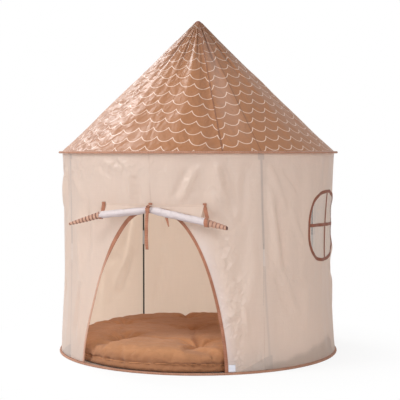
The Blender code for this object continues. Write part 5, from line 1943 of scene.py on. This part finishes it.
@dataclass
class Mattress(SubAssembly):
    """The round tufted mattress, swelled by a cloth simulation, with its seam and threads."""

    radius: float = 0.463
    height: float = 0.092
    base: float = 0.0018
    door_shift: float = 0.064
    seam_height: float = 0.030
    tuft_count: int = 6
    tuft_ring: float = 0.316
    tuft_first: float = math.radians(23.0)
    tuft_depth: float = 0.036
    tuft_reach: float = 0.040
    voxel: float = 0.0105
    frames: int = 20
    most_move: float = 0.008

    def tufts(self) -> list[tuple[float, float]]:
        """Return the tufts' places."""
        places = [(0.0, 0.0)]
        for index in range(self.tuft_count):
            turn = self.tuft_first + TURN * index / self.tuft_count
            places.append((self.tuft_ring * math.sin(turn), -self.tuft_ring * math.cos(turn)))
        return places

    def relief(self, y: float | np.ndarray) -> float | np.ndarray:
        """Return how deep the top is worked at y: full at the door, flatter at the rear."""
        return 1.0 - 0.48 * held_to_one((y + 0.22) / 0.30)

    def build(self) -> None:
        """Make the mattress, its seam's cord and the threads of its tufts."""
        body = self.build_body()
        self.pieces["body"] = body
        self.simulate(body)
        self.crumple(body)
        self.pieces["piping"] = self.build_piping(body)
        for index, place in enumerate(self.tufts()):
            self.pieces[f"thread_{index}"] = self.build_thread(body, index, place)
        for piece in self.pieces.values():
            piece.data.transform(Matrix.Translation((0.0, -self.door_shift, 0.0)))

    def build_body(self) -> Object:
        """Make the stuffed shape, slightly small, with its tufts pressed in."""
        shares = ((0.02, 0.0), (0.50, 0.0), (0.97, 0.0), (0.994, 0.03), (1.0, 0.12), (0.994, 0.24),
            (0.972, 0.32), (0.990, 0.39), (0.998, 0.52), (0.988, 0.68), (0.962, 0.81), (0.910, 0.89),
            (0.82, 0.94), (0.66, 0.96), (0.50, 0.96), (0.34, 0.96), (0.18, 0.96), (0.02, 0.96))
        curve = np.array(shares)
        t = np.linspace(0.0, 1.0, len(curve))
        fine = np.linspace(0.0, 1.0, 64)
        radii = np.interp(fine, t, curve[:, 0]) * (self.radius - 0.001)
        rises = np.interp(fine, t, curve[:, 1]) * (self.height - 0.002) + self.base + 0.001
        angles = np.linspace(0.0, TURN, 129)[:-1]
        rings = np.empty((len(radii), len(angles), 3))
        for row, (radius, rise) in enumerate(zip(radii, rises)):
            wave = 1.0 + 0.003 * np.sin(5.0 * angles + 0.6) + 0.002 * np.sin(11.0 * angles)
            wave = wave + 0.010 * bell(angles - TURN + 0.6, 0.3)
            rings[row, :, 0] = radius * wave * np.sin(angles)
            rings[row, :, 1] = -radius * wave * np.cos(angles)
            rings[row, :, 2] = rise
        top = rings[:, :, 2] > self.base + 0.5 * self.height
        for x, y in self.tufts():
            apart = np.hypot(rings[:, :, 0] - x, rings[:, :, 1] - y)
            dip = float(self.relief(y)) * self.tuft_depth * np.exp(-((apart / self.tuft_reach) ** 1.3))
            rings[:, :, 2] -= np.where(top, dip, 0.0)
        body = tube_mesh("mattress_body", rings, np.linspace(0.0, 1.4, len(radii)), 3.0)
        remesh = body.modifiers.new("even", "REMESH")
        remesh.mode = "VOXEL"
        remesh.voxel_size = self.voxel
        apply_modifier(body, "even")
        return body

    def simulate(self, body: Object) -> None:
        """Swell the mattress with cloth pressure while its tufts and edge seam hold.

        Args:
            body: the stuffed shape.
        """
        before = np.array([v.co[:] for v in body.data.vertices])
        held = body.vertex_groups.new(name="held")
        for index, point in enumerate(before):
            near = min(math.hypot(point[0] - x, point[1] - y) for x, y in self.tufts())
            edge = abs(point[2] - self.seam_height)
            out = math.hypot(point[0], point[1])
            weight = 0.0
            if point[2] < self.seam_height or (near < 0.016 and point[2] > 0.045):
                weight = 1.0
            elif out > self.radius - 0.054 and edge < 0.007:
                weight = 0.9
            if weight:
                held.add([index], weight, "REPLACE")
        cloth = body.modifiers.new("stuffing", "CLOTH")
        cloth.settings.quality = 6
        cloth.settings.mass = 0.25
        cloth.settings.use_pressure = True
        cloth.settings.uniform_pressure_force = 3.0
        cloth.settings.effector_weights.gravity = 0.0
        cloth.settings.tension_stiffness = 8.0
        cloth.settings.compression_stiffness = 8.0
        cloth.settings.bending_stiffness = 0.3
        cloth.settings.shrink_min = -0.045
        cloth.settings.vertex_group_mass = "held"
        cloth.point_cache.frame_start = 1
        cloth.point_cache.frame_end = self.frames
        scene = bpy.context.scene
        for number in range(1, self.frames + 1):
            scene.frame_set(number)
        apply_modifier(body, "stuffing")
        scene.frame_set(1)
        after = np.array([v.co[:] for v in body.data.vertices])
        move = after - before
        size = np.linalg.norm(move, axis=1, keepdims=True)
        move *= np.minimum(1.0, self.most_move / np.maximum(size, 1e-9))
        settled = before + move
        settled[:, 2] = np.maximum(settled[:, 2], self.base)
        body.data.vertices.foreach_set("co", settled.ravel())
        body.vertex_groups.clear()
        log.info("mattress: largest move %.4f m", float(size.max()))

    def crumple(self, body: Object) -> None:
        """Smooth the mattress once, lay folds between its tufts and along its edge, and mark its low side
        band for painted shade.

        Args:
            body: the swelled shape.
        """
        soften(body, 1)
        tufts = self.tufts()
        normals = np.array([v.normal[:] for v in body.data.vertices])
        points = np.array([v.co[:] for v in body.data.vertices])
        move = np.zeros(len(points))
        out = np.hypot(points[:, 0], points[:, 1])
        turn = np.arctan2(points[:, 0], -points[:, 1])
        top = held_to_one((points[:, 2] - 0.045) / 0.02)
        for index, (x, y) in enumerate(tufts):
            dx, dy = points[:, 0] - x, points[:, 1] - y
            apart = np.hypot(dx, dy)
            spoke = np.cos(7.0 * np.arctan2(dy, dx) + 1.7 * index)
            move += 0.0070 * spoke * bell(apart - 0.032, 0.036) * top
        for first, second in ((0, 1), (0, 3), (0, 5), (1, 2), (2, 3), (3, 4), (4, 5), (5, 6), (6, 1)):
            (x0, y0), (x1, y1) = tufts[first], tufts[second]
            dx, dy = x1 - x0, y1 - y0
            length = math.hypot(dx, dy)
            along = ((points[:, 0] - x0) * dx + (points[:, 1] - y0) * dy) / length ** 2
            apart = ((points[:, 0] - x0) * dy - (points[:, 1] - y0) * dx) / length
            apart += 0.012 * np.sin(along * 9.0 + first)
            span = held_to_one(1.0 - (2.0 * along - 1.0) ** 6)
            move -= 0.0070 * bell(apart, 0.012) * span * top
        move *= self.relief(points[:, 1])
        band = held_to_one((out - self.radius + 0.094) / 0.05)
        gather = np.sin(52.0 * turn) + 0.8 * np.sin(83.0 * turn + 1.0)
        move += 0.0017 * gather * band * bell(points[:, 2] - self.seam_height, 0.022)
        crease = bell(points[:, 2] - self.seam_height, 0.0055) * band
        move -= 0.0055 * crease
        for row in range(len(points)):
            place = Vector(points[row].tolist())
            long_wise = Vector((place.x * 14.0, place.y * 40.0, place.z * 30.0))
            move[row] += 0.0032 * noise.noise(long_wise) + 0.0016 * noise.noise(place * 52.0)
        under = points[:, 2] < 0.012
        move = np.where(under, 0.0, move)
        points += normals * move[:, None]
        points[:, 2] = np.maximum(points[:, 2], self.base)
        # painted shade: the low side band, below the top and near the edge, is marked to be darkened
        side = held_to_one((0.080 - points[:, 2]) / 0.030) * held_to_one((out - 0.36) / 0.06)
        body.data.attributes.new("wear_and_side_shade", "FLOAT", "POINT").data.foreach_set("value", side)
        reach = np.hypot(points[:, 0], points[:, 1])
        shrink = np.minimum(1.0, (self.radius + 0.001) / np.maximum(reach, 1e-9))
        points[:, :2] *= shrink[:, None]
        body.data.vertices.foreach_set("co", points.ravel())
        body.data.update()
        body.data.shade_smooth()

    def build_piping(self, body: Object) -> Object:
        """Make the sewn seam that runs round the edge, laid on the finished surface.

        Args:
            body: the finished body.

        Returns:
            The seam's cord.
        """
        count, sides = 240, 8
        rings = np.empty((count, sides, 3))
        for row in range(count):
            angle = TURN * row / count
            height = self.seam_height + 0.003 * math.sin(3.0 * angle + 0.8) + 0.0015 * math.sin(9.0 * angle)
            start = Vector((0.6 * math.sin(angle), -0.6 * math.cos(angle), height))
            hit, place, _, _ = body.ray_cast(start, Vector((-math.sin(angle), math.cos(angle), 0.0)))
            reach = math.hypot(place.x, place.y) if hit else self.radius - 0.01
            for column in range(sides):
                turn = TURN * column / sides
                r = reach + 0.0002 + 0.0019 * math.cos(turn)
                rings[row, column] = (r * math.sin(angle), -r * math.cos(angle),
                    height + 0.0019 * math.sin(turn))
        smooth = rings.copy()
        for shift in (-2, -1, 1, 2):
            smooth += np.roll(rings, shift, axis=0)
        rings = smooth / 5.0
        along = np.linspace(0.0, TURN * self.radius, count + 1)
        return tube_mesh("mattress_seam", rings, along, 0.012, looped=True)

    def build_thread(self, body: Object, index: int, place: tuple) -> Object:
        """Make the thread of one tuft: a small flat stitch from a ring, sunk in its dimple.

        Args:
            body: the finished body.
            index: the tuft's number.
            place: the tuft's x and y.

        Returns:
            The thread.
        """
        hit, spot, _, _ = body.ray_cast(Vector((place[0], place[1], 0.2)), Vector((0.0, 0.0, -1.0)))
        height = spot.z if hit else self.height - self.tuft_depth
        deselect_all()
        bpy.ops.mesh.primitive_torus_add(major_segments=14, minor_segments=6, major_radius=0.0042,
            minor_radius=0.0011, location=(place[0], place[1], height + 0.0006), rotation=(0.25, 0.1 * index,
            0.7 * index))
        thread = bpy.context.object
        thread.name = f"mattress_thread_{index}"
        bpy.ops.object.transform_apply(location=True, rotation=True, scale=True)
        bpy.ops.object.mode_set(mode="EDIT")
        bpy.ops.mesh.select_all(action="SELECT")
        bpy.ops.transform.resize(value=(1.0, 0.42, 1.0))
        bpy.ops.object.mode_set(mode="OBJECT")
        thread.data.shade_smooth()
        return thread

    def dress(self) -> None:
        use = self.finishes.muslin
        for name, piece in self.pieces.items():
            nodes = ("mattress",) if name == "body" else ()
            dress(piece, use, Slot.MATTRESS, "floor_mattress", *nodes)


@dataclass
class Studio:
    """A pale floor, a white surround, four soft lamps and the camera of the photograph."""

    camera_turn: float = 19.0
    camera_reach: float = 4.345
    camera_height: float = 0.785
    lens: float = 98.4
    aim_turn: float = -0.094
    aim_drop: float = 2.54

    def build(self) -> None:
        """Set up the floor, the world, the lamps and the camera."""
        self.add_floor()
        self.add_world()
        self.add_lamp("key", (-2.8, -2.7, 2.9), 1.7, 110.0)
        self.add_lamp("fill", (2.4, -3.7, 2.0), 1.8, 73.0)
        self.add_lamp("top", (-2.5, 1.5, 3.7), 1.3, 78.0)
        self.add_lamp("back", (0.4, 3.8, 0.8), 2.0, 14.0).visible_glossy = False
        turn = math.radians(self.camera_turn)
        data = bpy.data.cameras.new("photo_camera")
        data.lens, data.sensor_width = self.lens, 36.0
        camera = bpy.data.objects.new("photo_camera", data)
        camera.location = (self.camera_reach * math.sin(turn), -self.camera_reach * math.cos(turn),
            self.camera_height)
        camera.rotation_euler = (math.radians(90.0 - self.aim_drop), 0.0, turn + math.radians(self.aim_turn))
        bpy.context.scene.collection.objects.link(camera)
        bpy.context.scene.camera = camera
        bpy.context.scene.view_settings.view_transform = "Standard"

    def add_lamp(self, name: str, place: tuple, size: float, power: float) -> Object:
        """Add a square soft lamp that looks at the tent's middle.

        Args:
            name: the lamp's name.
            place: where it stands.
            size: its side in metres.
            power: its power in watts.

        Returns:
            The lamp.
        """
        data = bpy.data.lights.new(name, "AREA")
        data.size, data.energy = size, power
        lamp = bpy.data.objects.new(name, data)
        lamp.location = place
        lamp.visible_camera = False
        aim = Vector((0.0, 0.0, 0.6)) - Vector(place)
        lamp.rotation_euler = aim.to_track_quat("-Z", "Y").to_euler()
        bpy.context.scene.collection.objects.link(lamp)
        return lamp

    def add_world(self) -> None:
        """Light the scene evenly and show white behind it."""
        world = bpy.data.worlds.new("white_surround")
        bpy.context.scene.world = world
        world.use_nodes = True
        tree = world.node_tree
        tree.nodes.clear()
        path = tree.nodes.new("ShaderNodeLightPath")
        seen = add_node(tree, "Math", {0: path.outputs["Is Camera Ray"], 1: path.outputs["Is Glossy Ray"]},
            operation="MAXIMUM")
        seen = add_node(tree, "Math", {0: seen, 1: path.outputs["Is Transmission Ray"]}, operation="MAXIMUM")
        strength = add_node(tree, "MapRange", {"Value": seen, "To Min": 0.41, "To Max": 1.0})
        shade = add_node(tree, "Background", {"Color": (1.0, 1.0, 1.0, 1.0), "Strength": strength})
        output = tree.nodes.new("ShaderNodeOutputWorld")
        tree.links.new(shade, output.inputs["Surface"])

    def add_floor(self) -> None:
        """Add a pale floor that keeps the tent's shadow and turns white further out."""
        deselect_all()
        bpy.ops.mesh.primitive_circle_add(vertices=96, radius=14.0, fill_type="NGON",
            location=(0.0, 0.0, -0.0006))
        floor = bpy.context.object
        floor.name = "studio_floor"
        bpy.ops.object.transform_apply(location=True, rotation=True, scale=True)
        material, tree = new_material("pale_studio_floor")
        place = add_node(tree, "TexCoord", out="Object")
        away = add_node(tree, "VectorMath", {0: place}, "Value", operation="LENGTH")
        fade = add_node(tree, "MapRange", {"Value": away, "From Min": 0.48, "From Max": 1.0, "To Min": 0.84},
            interpolation_type="SMOOTHSTEP")
        path = tree.nodes.new("ShaderNodeLightPath")
        seen = add_node(tree, "Math", {0: path.outputs["Is Camera Ray"], 1: fade}, operation="MULTIPLY")
        matt = add_node(tree, "BsdfDiffuse", {"Color": linear("FBFAF9")})
        white = add_node(tree, "Emission", {"Color": (1.0, 1.0, 1.0, 1.0), "Strength": 1.0})
        set_surface(tree, add_node(tree, "MixShader", {0: seen, 1: matt, 2: white}))
        floor.data.materials.append(material)


def main() -> None:
    """Build the tent's sub-assemblies in order."""
    logging.basicConfig(level=logging.INFO, format="%(message)s")
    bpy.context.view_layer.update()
    shape, finishes = TentShape(), Finishes()
    Studio().build()
    arch = DoorArch(shape)
    windows = [WindowFrame(shape, "right", math.pi / 2.0), WindowFrame(shape, "left", -math.pi / 2.0)]

    walls = Walls(shape, finishes)
    walls.build(arch, windows)
    walls.dress()

    hems = Hems(shape, finishes)
    hems.build()
    hems.dress()

    roof = Roof(shape, finishes)
    roof.build()
    roof.dress(hems.pieces["eave"])

    trims = Trims(shape, finishes)
    trims.build(arch, windows)
    trims.dress()

    poles = PoleSet(shape, finishes)
    poles.build()
    poles.dress()

    line = RollLine(shape)
    ties = Ties(shape, finishes, line=line)
    ties.build()
    ties.dress()
    door = DoorRoll(shape, finishes, line=line)
    door.build()
    door.dress((ties.pieces["left"], ties.pieces["centre"], ties.pieces["right"]))

    mattress = Mattress(shape, finishes)
    mattress.build()
    mattress.dress()


if __name__ == "__main__":
    main()
